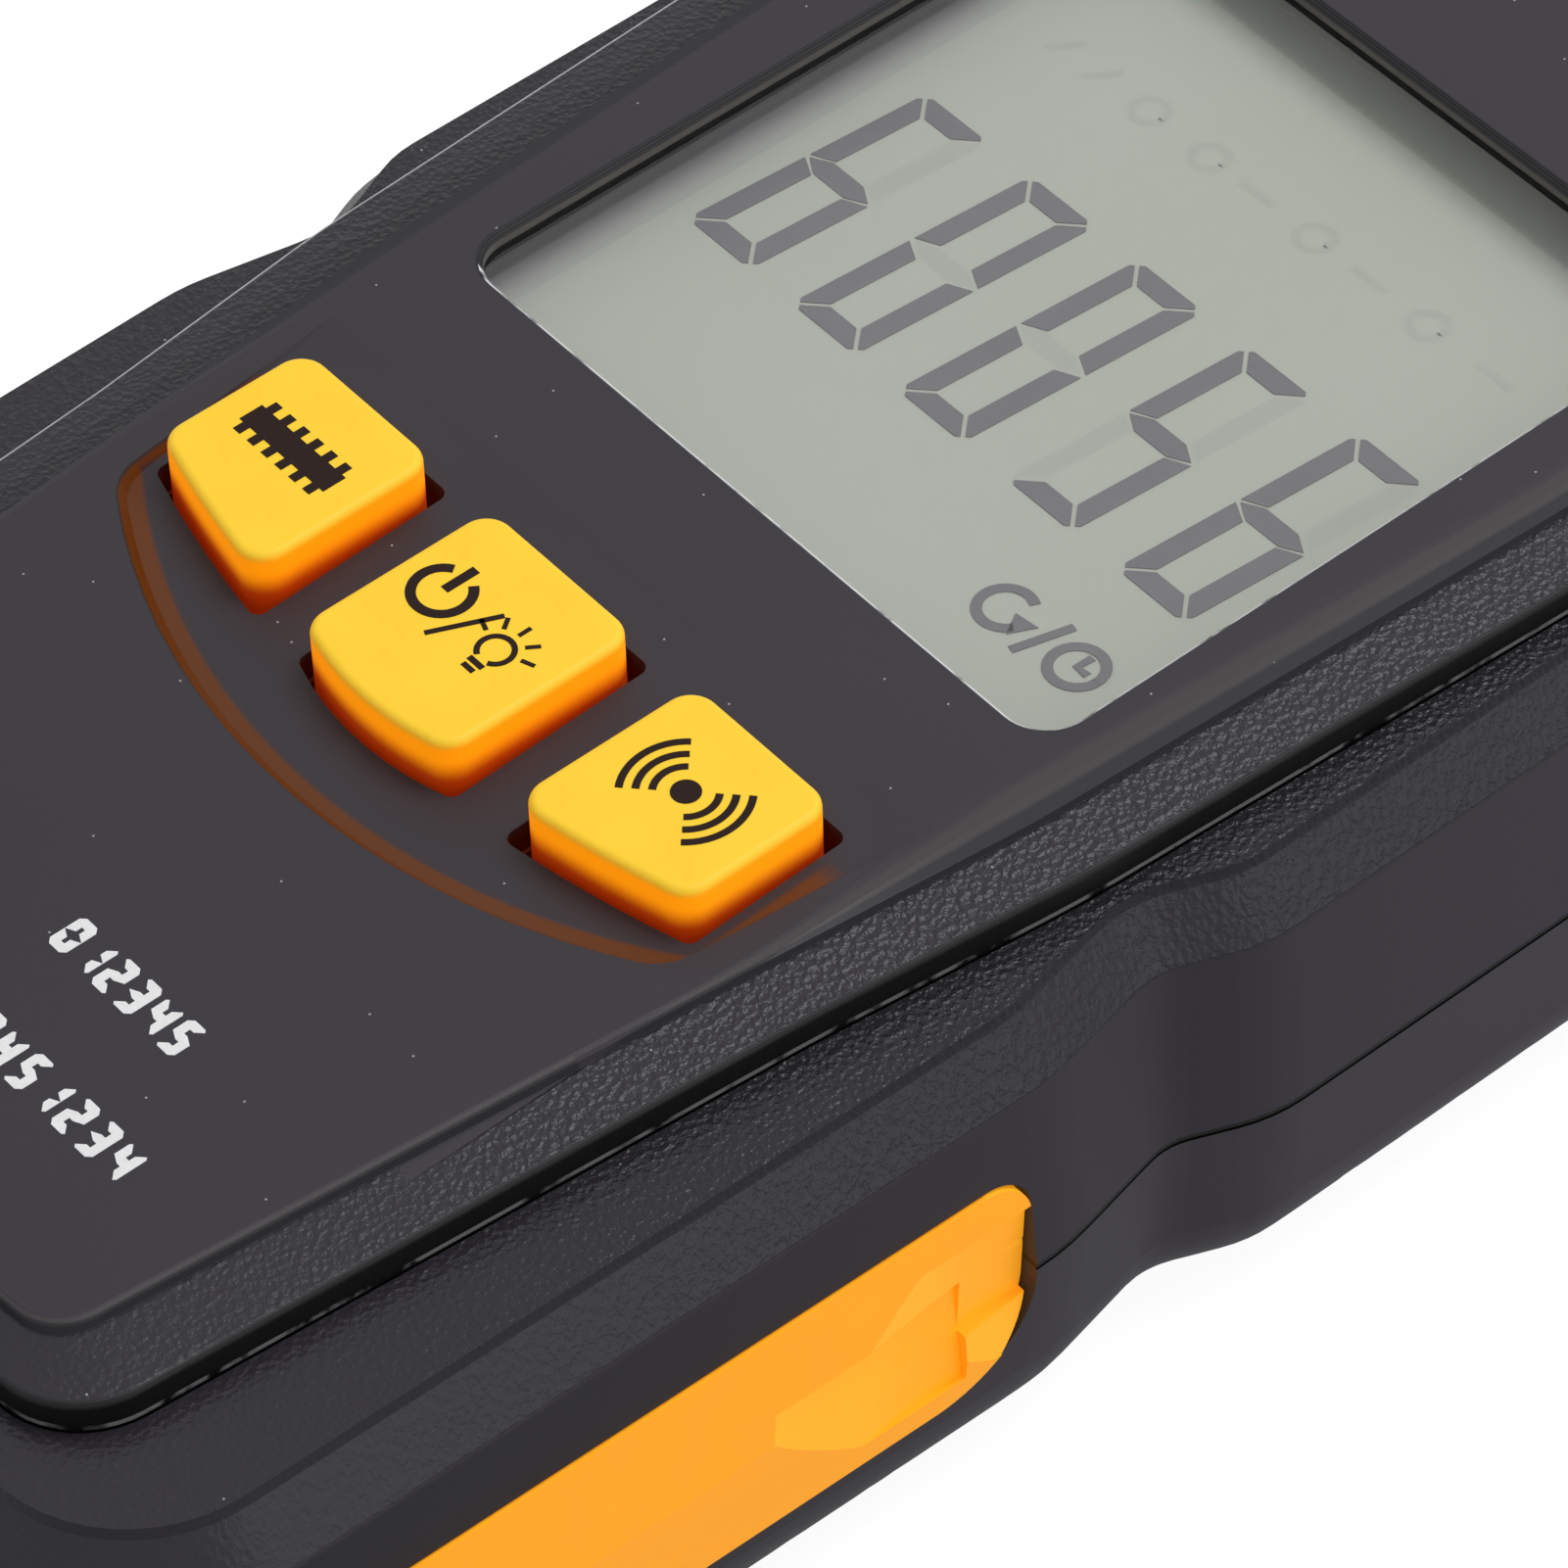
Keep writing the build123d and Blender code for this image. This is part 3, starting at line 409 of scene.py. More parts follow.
# Painted shade on the wall below the seam, and by the recess a fainter painted reflection
seam = step_up(drop, *SEAM)
# Painted highlight on the rim of the left side
far_rim = between(drop, *FAR_RIM, 0.04 * MM) * (1 - right_half) * edge_of_panel
# A thin broken painted highlight at the foot of the panel's wall
seam_highlight = step_up(noise(place, 1.6 * MM, 3.0), 0.4, 0.56)
seam_highlight = seam_highlight * between(drop, WALL_FOOT - 0.2 * MM, WALL_FOOT, 0.02 * MM)
tint = mix_colour(rolled, tint, ROLLED_HIGHLIGHT)
tint = mix_colour(step, tint, SHADED)
tint = mix_colour(seam, tint, mix_colour(near_recess, DEEP_SHADE, shade(KEY_REFLECTION, 0.5)))
tint = mix_colour(far_rim, mix_colour(seam_highlight * 0.6, tint, DUST_AND_HIGHLIGHT), BRIGHT)
print("edge, step and seam masked")

# %% Face panel: painted reflection round the keys
away = place.node("VectorMath", {"operation": "DISTANCE"}, {0: place, 1: RECESS_MIDDLE}, output=1)
to_arc = RECESS_RADIUS - away
to_side = RECESS_HALF - size_of(across)
to_edge = to_arc.sum("MINIMUM", to_arc, to_side)
# A painted reflection of the orange keys along the edge of their recess
glow = between(to_edge, 0.0, GLOW_WIDTH, 0.3 * MM) * step_up(drop, 0.05 * MM, 0.15 * MM)
fading = 1 - step_up(along, *GLOW_FADES)
tint = mix_colour(glow * fading * near_recess, tint, KEY_REFLECTION)
print("glow follows an arc of", round(RECESS_RADIUS / MM, 1), "mm")

# %% Face panel: edges of the window
in_window = inside(across, WINDOW_HALF) * (1 - below_window)
in_window = in_window * (1 - step_up(along, WINDOW_END, WINDOW_END + 0.1 * MM))
in_window = in_window * step_up(drop, 0.02 * MM, 0.04 * MM)
right_edge = step_up(across, RIGHT_EDGE, RIGHT_EDGE + 0.1 * MM)
lower_edge = 1 - step_up(along, LOWER_EDGE, LOWER_EDGE + 0.1 * MM)
near_edges = 1 - (1 - right_edge) * (1 - lower_edge)
# Painted shade and painted light in fine ribs on the far two edges of the window
ribs = fraction_of(drop / RIB)
rib_light_and_shade = mix_colour(step_up(ribs, 0.55, 0.75), DEEP_SHADE, shade(SHELL_DARK, 0.8))
low_wall = mix_colour(step_up(ribs, 0.3, 0.7), shade(RIB_LIGHT, 0.45), RIB_LIGHT)
rib_light_and_shade = mix_colour(step_up(drop, 0.33 * MM, 0.38 * MM), rib_light_and_shade, low_wall)
# A broken painted highlight on painted shade along the right and lower edges
glint = step_up(noise(place, 1.1 * MM, 3.0), 0.3, 0.5) * step_up(drop, 0.1 * MM, 0.14 * MM)
tint = mix_colour(in_window * (1 - near_edges), tint, rib_light_and_shade)
tint = mix_colour(in_window * near_edges, tint, mix_colour(glint, DEEP_SHADE, BRIGHT))
feed(shader, tint, "Base Color")
dress(panel_finish, "face_panel")
print("face panel dressed")

# %% [markdown]
# ## Orange rubber
# Keys and side grips are moulded from orange rubber. Light enters the keys, so that their sides
# glow, deeper and redder towards the foot, where less light comes back out. That look is painted:
# a side colour and an emitted painted light that change with the height give it and cost no
# extra light paths, and the tops get a faint emitted painted light too. On the grips an emitted
# painted light follows the lean of the surface, which brings out the shallow hollows.


# %% Orange rubber
def orange_rubber(name, colour, roughness):
    """Orange rubber; returns its shader, the place and a tint that varies slowly."""
    material, shader, start = new_finish(name, colour, roughness)
    place = place_of(start)
    cloud = noise(place, 2.5 * MM, 0.0)
    skin = noise(place, 0.12 * MM, 0.0)
    shader.inputs["Specular IOR Level"].default_value = DULL
    feed(shader, roughness - 0.04 + cloud * 0.08, "Roughness")
    feed(shader, bump(skin, 0.004 * MM), "Normal")
    return material, shader, place, mix_colour(cloud, shade(colour, 0.97), shade(colour, 1.03))


KEY_NAMES = ("memory_key", "power_key", "measure_key")
KEY_TOP = (1.0, 0.62, 0.036)
KEY_SIDE = (1.0, 0.36, 0.003, 1)
KEY_FOOT = (0.62, 0.07, 0.002, 1)
GLOW_TOP = (0.14, 0.1, 0.003, 1)
GLOW_SIDE = (0.68, 0.19, 0.0, 1)
GLOW_FOOT = (0.15, 0.008, 0.0, 1)
GRIP_COLOUR = (1.0, 0.395, 0.012)
GRIP_GLOW = (0.5, 0.21, 0.006, 1)
GRIP_GLOW_DEEP = (0.33, 0.09, 0.0, 1)
SIDE_DEPTHS = (0.03 * MM, 0.5 * MM)
FOOT_DEPTHS = (0.9 * MM, 2.2 * MM)
key_top_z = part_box("power_key")[1].z

key_finish, shader, place, tint = orange_rubber("key_finish", KEY_TOP, 0.5)
# Painted: a faint emitted light on the tops, and side colours and light redder to the foot
drop = key_top_z - axis_of(place, "Z")
depth = step_up(drop, *FOOT_DEPTHS)
on_side = step_up(drop, *SIDE_DEPTHS)
side = mix_colour(depth, KEY_SIDE, KEY_FOOT)
feed(shader, mix_colour(on_side, tint, side), "Base Color")
glow = mix_colour(depth, GLOW_SIDE, GLOW_FOOT)
feed(shader, mix_colour(on_side, GLOW_TOP, glow), "Emission Color")
shader.inputs["Emission Strength"].default_value = 1.0
dress(key_finish, *KEY_NAMES)

grip_finish, shader, place, tint = orange_rubber("grip_finish", GRIP_COLOUR, 0.5)
feed(shader, tint, "Base Color")
# Emitted painted light that follows the lean, lighter and darker across the shallow hollows
hollows = 0.5 + facing_of(place, "Y") * 6
feed(shader, mix_colour(hollows, GRIP_GLOW_DEEP, GRIP_GLOW), "Emission Color")
shader.inputs["Emission Strength"].default_value = 1.0
dress(grip_finish, "side_grip_left", "side_grip_right")
print("rubber dressed; key tops at", round(key_top_z / MM, 2), "mm")

# %% [markdown]
# ## Clear window
# The window is a clear plastic plate. Real refraction would cost many light paths and leave
# the display in shadow, so the plate is a clear surface that mirrors more at a flat angle.
# A Fresnel node would turn its back face into a full mirror. Facing is the same on both faces,
# and its fifth power is the usual short cut for the share that a clear plastic mirrors.

# %% Clear window
window_finish, window_shader, start = new_finish("window_finish", (0.9, 0.92, 0.92), 0.03)
window_tree = window_finish.node_tree
through = start.node("BsdfTransparent", sockets={"Color": (0.985, 0.99, 0.985, 1)})
mirror = start.node("BsdfGlossy", sockets={"Color": (1, 1, 1, 1), "Roughness": 0.03})
edge_on = start.node("LayerWeight", sockets={"Blend": 0.5}, output="Facing")
wipe = noise(place_of(start), 6 * MM, 1.0)
share = (0.04 + edge_on ** 5 * 0.96) * (0.95 + wipe * 0.1)
both = start.node("MixShader", sockets={0: share, 1: through, 2: mirror})
window_output = window_tree.nodes["Material Output"]
window_tree.links.new(both.socket, window_output.inputs["Surface"])
window_tree.nodes.remove(window_shader)
dress(window_finish, "window_pane")
print("window dressed")

# %% [markdown]
# ## Display
# A liquid crystal display is a grey-green sheet with dark segments just above it. The segments
# are thin plates between the sheet and the window. They are drawn upright from a few sizes and
# then leant over. One side of the sheet has a painted shadow of the far wall of the window, and
# a painted dark line of shade near that edge.

# %% The display's sheet
SHEET_DARK = (0.456, 0.475, 0.413, 1)
SHEET_PALE = (0.485, 0.5, 0.456, 1)
SHEET_SHADE = (0.36, 0.34, 0.38, 1)
SHEET_SHADE_LINE = (0.09, 0.09, 0.1, 1)
display_low, display_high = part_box("display_panel")
display_finish, display_shader, start = new_finish("display_finish", (0.4, 0.43, 0.35), 0.5)
place = place_of(start)
haze = noise(place, 14 * MM, 0.0)
speckle = noise(place, 0.15 * MM, 0.0)
tint = mix_colour(haze, SHEET_DARK, SHEET_PALE)
from_left = axis_of(place, "X") - display_low.x
# Painted shadow of the far wall, and a painted dark line of shade, by the left edge
shadow = 1 - step_up(from_left, 0.5 * MM, 3.6 * MM)
line = between(from_left, 0.85 * MM, 1.0 * MM, 0.2 * MM)
tint = mix_colour(shadow, tint, SHEET_SHADE)
tint = mix_colour(line * 0.45, tint, SHEET_SHADE_LINE)
feed(display_shader, tint, "Base Color")
feed(display_shader, 0.45 + speckle * 0.15, "Roughness")
dress(display_finish, "display_panel")

SEGMENT_RISE = 0.05 * MM
segment_height = display_high.z + SEGMENT_RISE
print("display's top", round(display_high.z / MM, 2), "segments at", round(segment_height / MM, 2))

# %% [markdown]
# The reading is a plain number. Each numeral has seven segments, a to g; those that are off
# are hardly seen. The same outlines serve for the numerals that are printed on the handle.


# %% Segments of one numeral
# LEAN is how far a numeral leans to the right for each millimetre of its height
DIGIT_WIDTH = 3.85 * MM
DIGIT_HEIGHT = 11.85 * MM
DIGIT_PITCH = 6.43 * MM
STROKE = 1.0 * MM
SPLIT = 0.13 * MM
CUT = 0.45 * MM
LEAN = 0.071
READING_MIDDLE = Vector((-0.25, -1.62)) * MM


def segment_outlines(width, height, stroke, split, cut):
    """Outline of each segment of an upright numeral whose middle is at 0, 0.

    The split is the gap between two segments, and the cut takes off a numeral's corners.
    """
    w, h, s, t, c = width / 2, height / 2, split, stroke, cut
    corner = (c + s) / 2
    right = [(w - c, h), (w - corner, h - (c - s) / 2), (w - t - s, h - t)]
    across = right + [(-x, y) for x, y in reversed(right)]
    upper = [(-w, h - c), (-w + (c - s) / 2, h - corner), (-w + t, h - t - s)]
    upper += [(-w + t, t / 2 + s), (-w, s)]
    bar = [(-w + s, 0), (-w + t, t / 2), (w - t, t / 2)]
    bar += [(w - s, 0), (w - t, -t / 2), (-w + t, -t / 2)]
    return {
        "a": across,
        "f": upper,
        "b": [(-x, y) for x, y in upper],
        "g": bar,
        "e": [(x, -y) for x, y in upper],
        "c": [(-x, -y) for x, y in upper],
        "d": [(x, -y) for x, y in across],
    }


def plate(name, outlines, height, thickness, body, material):
    """A flat piece: closed outlines in the X and Y of the frame, with a small thickness."""
    points, faces = [], []
    for outline in outlines:
        start = len(points)
        count = len(outline)
        points += [(x, y, height - thickness) for x, y in outline]
        points += [(x, y, height) for x, y in outline]
        turned = sum(
            outline[i - 1][0] * outline[i][1] - outline[i][0] * outline[i - 1][1]
            for i in range(count)
        )
        upward = list(range(start + count, start + 2 * count))
        downward = list(range(start, start + count))[::-1]
        if turned < 0:
            upward.reverse()
            downward.reverse()
        faces += [upward, downward]
        for i in range(count):
            j = (i + 1) % count
            side = [start + i, start + j, start + count + j, start + count + i]
            faces.append(side if turned > 0 else side[::-1])
    mesh = bpy.data.meshes.new(name)
    mesh.from_pydata(points, [], faces)
    mesh.materials.append(material)
    piece = bpy.data.objects.new(name, mesh)
    bpy.context.scene.collection.objects.link(piece)
    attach(piece, body)


print(list(segment_outlines(DIGIT_WIDTH, DIGIT_HEIGHT, STROKE, SPLIT, CUT)))


# %% Finish of the segments
def segment_material(name, colour, alpha):
    """Grey that the sheet below shows through; alpha is how much it covers."""
    material, shader, start = new_finish(name, colour, 0.35)
    cloud = noise(place_of(start), 3 * MM)
    feed(shader, mix_colour(cloud, shade(colour, 0.9), shade(colour, 1.1)), "Base Color")
    feed(shader, alpha * (0.97 + cloud * 0.06), "Alpha")
    return material


dark_segment = segment_material("dark_segment", (0.17, 0.16, 0.185), 0.8)
faint_segment = segment_material("faint_segment", (0.41, 0.43, 0.375), 0.008)
print("segments have a finish")

# %% The reading
READING = "60056"
SEGMENTS_OF = {
    "0": "abcdef",
    "1": "bc",
    "2": "abged",
    "3": "abgcd",
    "4": "fgbc",
    "5": "afgcd",
    "6": "acdefg",
}


def leant(outline, middle):
    """The outline leant over to the right and put in its place on the display."""
    return [
        (window_middle.x + middle.x + x + LEAN * y, window_middle.y + middle.y + y)
        for x, y in outline
    ]


on, off = [], []
shapes = segment_outlines(DIGIT_WIDTH, DIGIT_HEIGHT, STROKE, SPLIT, CUT)
for place_in_row, numeral in enumerate(READING):
    across = (place_in_row - (len(READING) - 1) / 2) * DIGIT_PITCH
    for letter, shape in shapes.items():
        chosen = on if letter in SEGMENTS_OF[numeral] else off
        chosen.append(leant(shape, READING_MIDDLE + Vector((across, 0))))

SEGMENT_THICKNESS = 0.03 * MM


def show(name, outlines, material):
    """Put flat shapes on the display."""
    plate(name, outlines, segment_height, SEGMENT_THICKNESS, "case", material)


show("reading_on", on, dark_segment)
show("reading_off", off, faint_segment)
print(len(on), "segments on,", len(off), "off")

# %% [markdown]
# Small marks of the display need no words either. The unit of the reading is a turning arrow,
# a stroke and a clock. Above it a row of marks is off, so it is hardly seen.
# Rings, arcs and bars are all one shape, a band along a path, so one helper draws them.


# %% Bands and dots
def band(path, width):
    """Outline of a band that follows a path of points."""
    left, right = [], []
    for i, point in enumerate(path):
        before = path[max(i - 1, 0)]
        after = path[min(i + 1, len(path) - 1)]
        along = (Vector(after) - Vector(before)).normalized()
        side = Vector((-along.y, along.x)) * width / 2
        left.append(tuple(Vector(point) + side))
        right.append(tuple(Vector(point) - side))
    return left + right[::-1]


def arc(middle, radius, start, end, steps=16):
    """Points on an arc; angles in degrees, anticlockwise from the right."""
    angles = [math.radians(start + (end - start) * i / steps) for i in range(steps + 1)]
    return [(middle[0] + radius * math.cos(a), middle[1] + radius * math.sin(a)) for a in angles]


def dot(middle, radius, corners=24):
    """Outline of a round spot."""
    return arc(middle, radius, 0, 360 - 360 / corners, corners - 1)


def block(middle, width, height):
    """Outline of an upright rectangle."""
    x, y = middle
    w, h = width / 2, height / 2
    return [(x - w, y - h), (x + w, y - h), (x + w, y + h), (x - w, y + h)]


print("a quarter arc has", len(arc((0, 0), 1, 0, 90)), "points")

# %% Marks of the display
THIN = 0.44


def on_display(outlines):
    """Shapes drawn in millimetres about the middle of the window."""
    return [leant([(x * MM, y * MM) for x, y in outline], Vector((0, 0))) for outline in outlines]


turn_middle, clock_middle = (9.9, -12.1), (14.0, -12.1)
unit = [
    band(arc(turn_middle, 1.1, 60, 335, 24), THIN),
    [(11.5, -11.85), (10.35, -12.0), (11.0, -13.0)],
    band([(11.75, -13.4), (12.3, -10.8)], THIN * 0.9),
    band(arc(clock_middle, 1.1, 0, 360, 24), THIN),
    band([(14.0, -11.35), (14.0, -12.1), (14.6, -12.1)], THIN * 0.8),
]
show("unit_marks", on_display(unit), dark_segment)

MARK_ROW = 10.4
idle = [band([(x, MARK_ROW - 0.7), (x + 0.9, MARK_ROW + 0.7)], THIN) for x in (-14.2, -11.9)]
idle += [band(arc((x, MARK_ROW), 0.75, 0, 360, 20), THIN) for x in (-8.6, -5.0, 1.2, 7.8)]
idle += [block((x, MARK_ROW), 1.9, THIN) for x in (-2.2, 4.4, 11.6)]
show("idle_marks", on_display(idle), faint_segment)
print(len(unit), "marks on,", len(idle), "off")

# %% [markdown]
# ## Signs printed on the keys
# Signs are flat prints, 0.02 mm thick, on top of the rubber. They are wordless: a memory chip,
# the usual sign for power with a lamp, and a point that sends and receives waves.

# %% The three signs
BOLD = 0.42
FINE = 0.24

PINS = 6
PIN_PITCH = 0.86
memory_sign = [block((0, 0), 5.2, 1.1)]
for pin in range(PINS):
    x = (pin - (PINS - 1) / 2) * PIN_PITCH
    memory_sign += [block((x, 0.8), 0.42, 0.5), block((x, -0.8), 0.42, 0.5)]

ring_middle = (-2.1, 0.1)
power_sign = [
    band(arc(ring_middle, 1.2, 120, 420, 30), BOLD),
    band([(-2.1, 0.2), (-2.1, 1.75)], BOLD),
    band([(-0.85, -1.75), (0.45, 1.05)], FINE),
]
lamp_middle = (1.6, -0.3)
power_sign.append(band(arc(lamp_middle, 0.72, -65, 245, 24), FINE))
power_sign += [block((1.6, -1.25), 0.8, 0.26), block((1.6, -1.62), 0.62, 0.24)]
RAYS = 5
RAY_START, RAY_STEP = 20, 35
for ray in range(RAYS):
    angle = math.radians(RAY_START + ray * RAY_STEP)
    out = Vector((math.cos(angle), math.sin(angle)))
    root = Vector(lamp_middle) + out * 1.1
    power_sign.append(band([tuple(root), tuple(root + out * 0.6)], FINE * 0.8))

WAVES = 3
WAVE_START, WAVE_STEP = 1.25, 0.62
WAVE_SPREAD = 44
measure_sign = [dot((0, 0), 0.6)]
for wave in range(WAVES):
    radius = WAVE_START + wave * WAVE_STEP
    for facing in (0, 180):
        path = arc((0, 0), radius, facing - WAVE_SPREAD, facing + WAVE_SPREAD)
        measure_sign.append(band(path, FINE * 1.25))

print(len(memory_sign), len(power_sign), len(measure_sign), "shapes in the signs")


# %% Print them
def printing_ink(name, colour):
    """Dull ink with a slightly rubbed skin."""
    material, shader, start = new_finish(name, colour, 0.5)
    shader.inputs["Specular IOR Level"].default_value = 0.15
    wear = noise(place_of(start), 0.25 * MM, 3.0)
    feed(shader, mix_colour(wear, shade(colour, 0.9), shade(colour, 1.08)), "Base Color")
    feed(shader, 0.4 + wear * 0.2, "Roughness")
    return material


key_ink = printing_ink("key_ink", (0.016, 0.005, 0.003))
PRINT_THICKNESS = 0.02 * MM
SIGN_RISE = 0.6 * MM


def print_sign(name, key, sign):
    """Print a sign, drawn in millimetres about 0, 0, on the top of a key."""
    low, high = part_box(key)
    middle = (low + high) / 2
    top_of_print = high.z + PRINT_THICKNESS
    outlines = [
        [(middle.x + x * MM, middle.y + SIGN_RISE + y * MM) for x, y in outline] for outline in sign
    ]
    plate(name, outlines, top_of_print, PRINT_THICKNESS, key, key_ink)


print_sign("memory_sign", "memory_key", memory_sign)
print_sign("power_sign", "power_key", power_sign)
print_sign("measure_sign", "measure_key", measure_sign)
print("signs printed")

# %% [markdown]
# The handle carries two lines of white print. Here they are plain numerals, drawn with the
# outlines of the display's segments, without gaps and upright.

# %% Numerals printed on the handle
# Each line has its numerals, their height, their pitch and the line's middle, in millimetres
PRINTED_LINES = (("012345", 1.75, 1.3, (4.4, -59.0)), ("0123451234", 1.75, 1.4, (4.6, -64.1)))
PRINTED_WIDTH = 1.0 * MM
PRINTED_STROKE = 0.4 * MM
PRINTED_CUT = 0.2 * MM
white_ink = printing_ink("white_ink", (0.92, 0.92, 0.93))

printed = []
for numerals, tall, pitch, middle in PRINTED_LINES:
    shapes = segment_outlines(PRINTED_WIDTH, tall * MM, PRINTED_STROKE, 0.0, PRINTED_CUT)
    for place_in_row, numeral in enumerate(numerals):
        x = middle[0] + (place_in_row - (len(numerals) - 1) / 2) * pitch
        for letter in SEGMENTS_OF[numeral]:
            outline = [(x * MM + px, middle[1] * MM + py) for px, py in shapes[letter]]
            printed.append(outline)
top_of_print = face_z + PRINT_THICKNESS
plate("face_numerals", printed, top_of_print, PRINT_THICKNESS, "case", white_ink)
print(len(printed), "bars of white print")

# %% [markdown]
# ## Metal
# Steel, brass, plated screws and springs differ in colour and polish. Each has a finely
# speckled skin that scatters the light a little, and a tarnish in blots of a few millimetres.


# %% Metals
def metal(name, colour, roughness):
    """Metal with a speckled skin and a slow tarnish."""
    material, shader, start = new_finish(name, colour, roughness)
    place = place_of(start)
    speckles = noise(place, 0.15 * MM, 3.0)
    tarnish = noise(place, 4 * MM, 2.0)
    shader.inputs["Metallic"].default_value = 1.0
    feed(shader, mix_colour(tarnish, shade(colour, 0.82), shade(colour, 1.1)), "Base Color")
    feed(shader, roughness - 0.06 + speckles * 0.14, "Roughness")
    feed(shader, bump(speckles, 0.006 * MM), "Normal")
    return material


spindle_finish = metal("spindle_finish", (0.56, 0.56, 0.57), 0.28)
bush_finish = metal("bush_finish", (0.72, 0.5, 0.2), 0.34)
screw_finish = metal("screw_finish", (0.4, 0.4, 0.41), 0.36)
contact_finish = metal("contact_finish", (0.66, 0.66, 0.64), 0.3)
dress(spindle_finish, "spindle")
dress(bush_finish, "rear_bush", "front_bush")
dress(screw_finish, "case_screws", "board_screws")
SIDES = ("left", "middle", "right")
dress(contact_finish, *[f"spring_contact_{side}" for side in SIDES])
dress(contact_finish, *[f"plate_contact_{side}" for side in SIDES])
print("metals dressed")

# %% [markdown]
# ## Plastics and rubber inside
# Nothing inside shows while the case is closed, but the battery door slides off, and each
# piece is also used by itself. So every one gets a plain finish with some life in it.


# %% Inner plastics
def inner_plastic(name, colour, roughness, variation=0.12, depth=0.01 * MM):
    """Plain plastic with a cloudy colour and a fine grain, depth metres deep."""
    material, shader, start = new_finish(name, colour, roughness)
    place = place_of(start)
    cloud = noise(place, 3 * MM)
    grain = noise(place, 0.2 * MM)
    light = mix_colour(cloud, shade(colour, 1 - variation), shade(colour, 1 + variation))
    feed(shader, light, "Base Color")
    feed(shader, roughness - 0.05 + grain * 0.1, "Roughness")
    feed(shader, bump(grain, depth), "Normal")
    return material


dress(inner_plastic("frame_finish", (0.72, 0.72, 0.7), 0.35), "display_frame")
dress(inner_plastic("guide_finish", (0.75, 0.78, 0.74), 0.2, 0.04), "backlight_guide")
dress(inner_plastic("strip_finish", (0.55, 0.48, 0.52), 0.6), "contact_strip")
SWITCH_BLACK = (0.03, 0.03, 0.032)
PLUNGER_RED = (0.45, 0.04, 0.03)
for name in KEY_NAMES:
    switch, plunger = name.replace("key", "switch"), name.replace("key", "plunger")
    dress(inner_plastic(f"{name}_switch_finish", SWITCH_BLACK, 0.4), switch)
    dress(inner_plastic(f"{name}_plunger_finish", PLUNGER_RED, 0.4), plunger)
dress(inner_plastic("board_finish", (0.012, 0.12, 0.045), 0.3, 0.25), "circuit_board")
dress(inner_plastic("chip_finish", (0.02, 0.02, 0.021), 0.55), "controller_chip", "speed_sensor")
dress(inner_plastic("disc_finish", (0.028, 0.028, 0.03), 0.5), "encoder_disc")
dress(inner_plastic("tip_finish", (0.03, 0.03, 0.031), 0.7, 0.2, 0.03 * MM), "contact_tip")
print("inner pieces dressed")

# %% [markdown]
# ## Battery cells
# A dry cell has a printed sleeve that stops short of both ends. A ring of another colour near
# the raised end is read from the place along the cell.


# %% Cells
SLEEVE_START = 1.2 * MM
RING_WIDTH = 14 * MM


def cell_finish(name, head_at, facing):
    """Sleeve of a cell whose raised end is at head_at and points along facing times Y."""
    material, shader, start = new_finish(name, (0.05, 0.12, 0.3), 0.3)
    place = place_of(start)
    from_head = (axis_of(place, "Y") - head_at) * -facing
    sleeve = step_up(from_head, SLEEVE_START, SLEEVE_START + 0.1 * MM)
    blue = step_up(from_head, RING_WIDTH, RING_WIDTH + 0.1 * MM)
    printed = mix_colour(blue, (0.75, 0.32, 0.02, 1), (0.03, 0.09, 0.25, 1))
    feed(shader, mix_colour(sleeve, (0.6, 0.6, 0.6, 1), printed), "Base Color")
    feed(shader, 1 - sleeve, "Metallic")
    feed(shader, 0.25 + noise(place, 0.3 * MM) * 0.1, "Roughness")
    return material


for side, facing in (("left", 1), ("middle", -1), ("right", 1)):
    low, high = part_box(f"battery_{side}")
    head_at = high.y if facing > 0 else low.y
    dress(cell_finish(f"cell_finish_{side}", head_at, facing), f"battery_{side}")
print("cells dressed")

# %% [markdown]
# ## Floor and light
# The photograph has a white ground. The floor is grey and takes a faint shadow. A light of its
# own lifts it to white for the camera, and a third of that light reaches the object.
# The world is white where the camera or a mirroring surface sees it, and it lights the object
# less than that. Large soft lamps keep the highlights on the rounded edges long and calm.

# %% Floor
FLOOR_HALF = 1.5
FLOOR_REST = 0.36
floor_mesh = bpy.data.meshes.new("floor")
corners = [(-FLOOR_HALF, -FLOOR_HALF, 0), (FLOOR_HALF, -FLOOR_HALF, 0)]
corners += [(FLOOR_HALF, FLOOR_HALF, 0), (-FLOOR_HALF, FLOOR_HALF, 0)]
floor_mesh.from_pydata(corners, [], [(0, 1, 2, 3)])
floor = bpy.data.objects.new("floor", floor_mesh)
bpy.context.scene.collection.objects.link(floor)

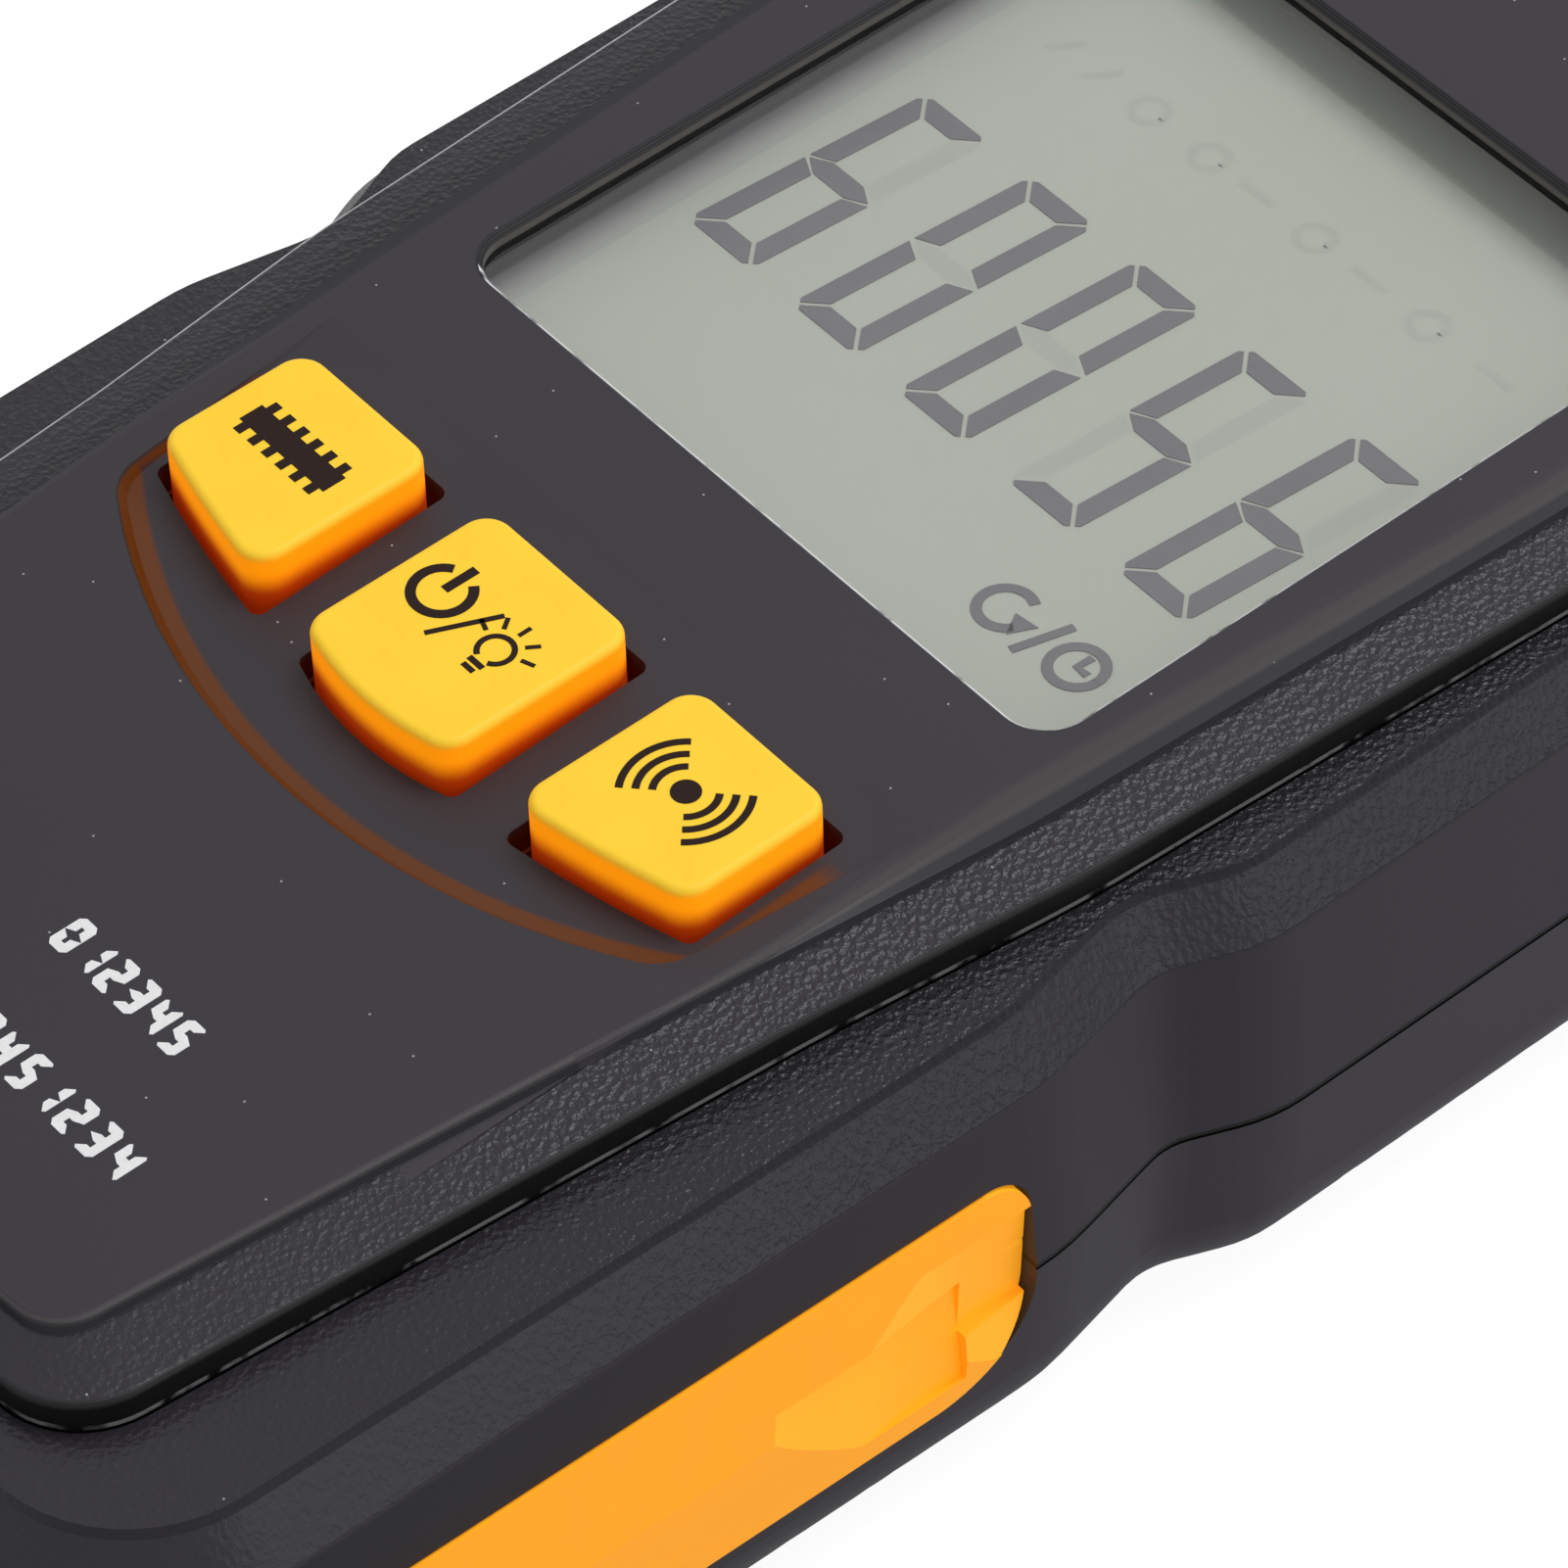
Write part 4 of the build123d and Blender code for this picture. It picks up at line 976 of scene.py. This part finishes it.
FLOOR_GLOW = 0.93
floor_finish, floor_shader, start = new_finish("floor_finish", (0.16, 0.16, 0.16), 0.8)
seen = start.node("LightPath", output="Is Camera Ray") * (1 - FLOOR_REST) + FLOOR_REST
floor_glow = start.node("Emission", sockets={"Color": (1, 1, 1, 1), "Strength": FLOOR_GLOW})
nothing = start.node("Emission", sockets={"Color": (0, 0, 0, 1), "Strength": 0.0})
glow = start.node("MixShader", sockets={0: seen, 1: nothing, 2: floor_glow})
lit = Signal(start.tree, floor_shader.outputs[0])
floor_sum = start.node("AddShader", sockets={0: lit, 1: glow})
floor_output = start.tree.nodes["Material Output"]
start.tree.links.new(floor_sum.socket, floor_output.inputs["Surface"])
floor_mesh.materials.append(floor_finish)
print("floor laid")

# %% World and lamps
world = bpy.data.worlds.new("studio")
world.use_nodes = True
bpy.context.scene.world = world
WORLD_LIGHT = 0.42
MIRRORED_LIGHT = 0.8
background = world.node_tree.nodes["Background"]
background.inputs["Color"].default_value = (1, 1, 1, 1)
around = Signal(world.node_tree)
seen = around.node("LightPath", output="Is Camera Ray")
seen = seen + around.node("LightPath", output="Is Glossy Ray") * MIRRORED_LIGHT
strength = WORLD_LIGHT + seen * (1 - WORLD_LIGHT)
world.node_tree.links.new(strength.socket, background.inputs["Strength"])


def lamp(name, place, size, watts):
    """A square soft lamp at a place in metres from the middle of the face, turned to it."""
    data = bpy.data.lights.new(name, "AREA")
    data.shape = "SQUARE"
    data.size = size
    data.energy = watts
    light = bpy.data.objects.new(name, data)
    target = Vector((0, 0, face_z))
    light.location = target + Vector(place)
    light.rotation_euler = (target - light.location).to_track_quat("-Z", "Y").to_euler()
    bpy.context.scene.collection.objects.link(light)
    return light


lamps = [
    lamp("lamp_above", (0.1, 0.32, 0.72), 0.4, 3.1),
    lamp("lamp_right", (0.7, 0.25, 0.35), 0.55, 0.75),
]
print("world at", WORLD_LIGHT, "and", len(lamps), "lamps")

# %% View transform
bpy.context.scene.view_settings.view_transform = "Standard"
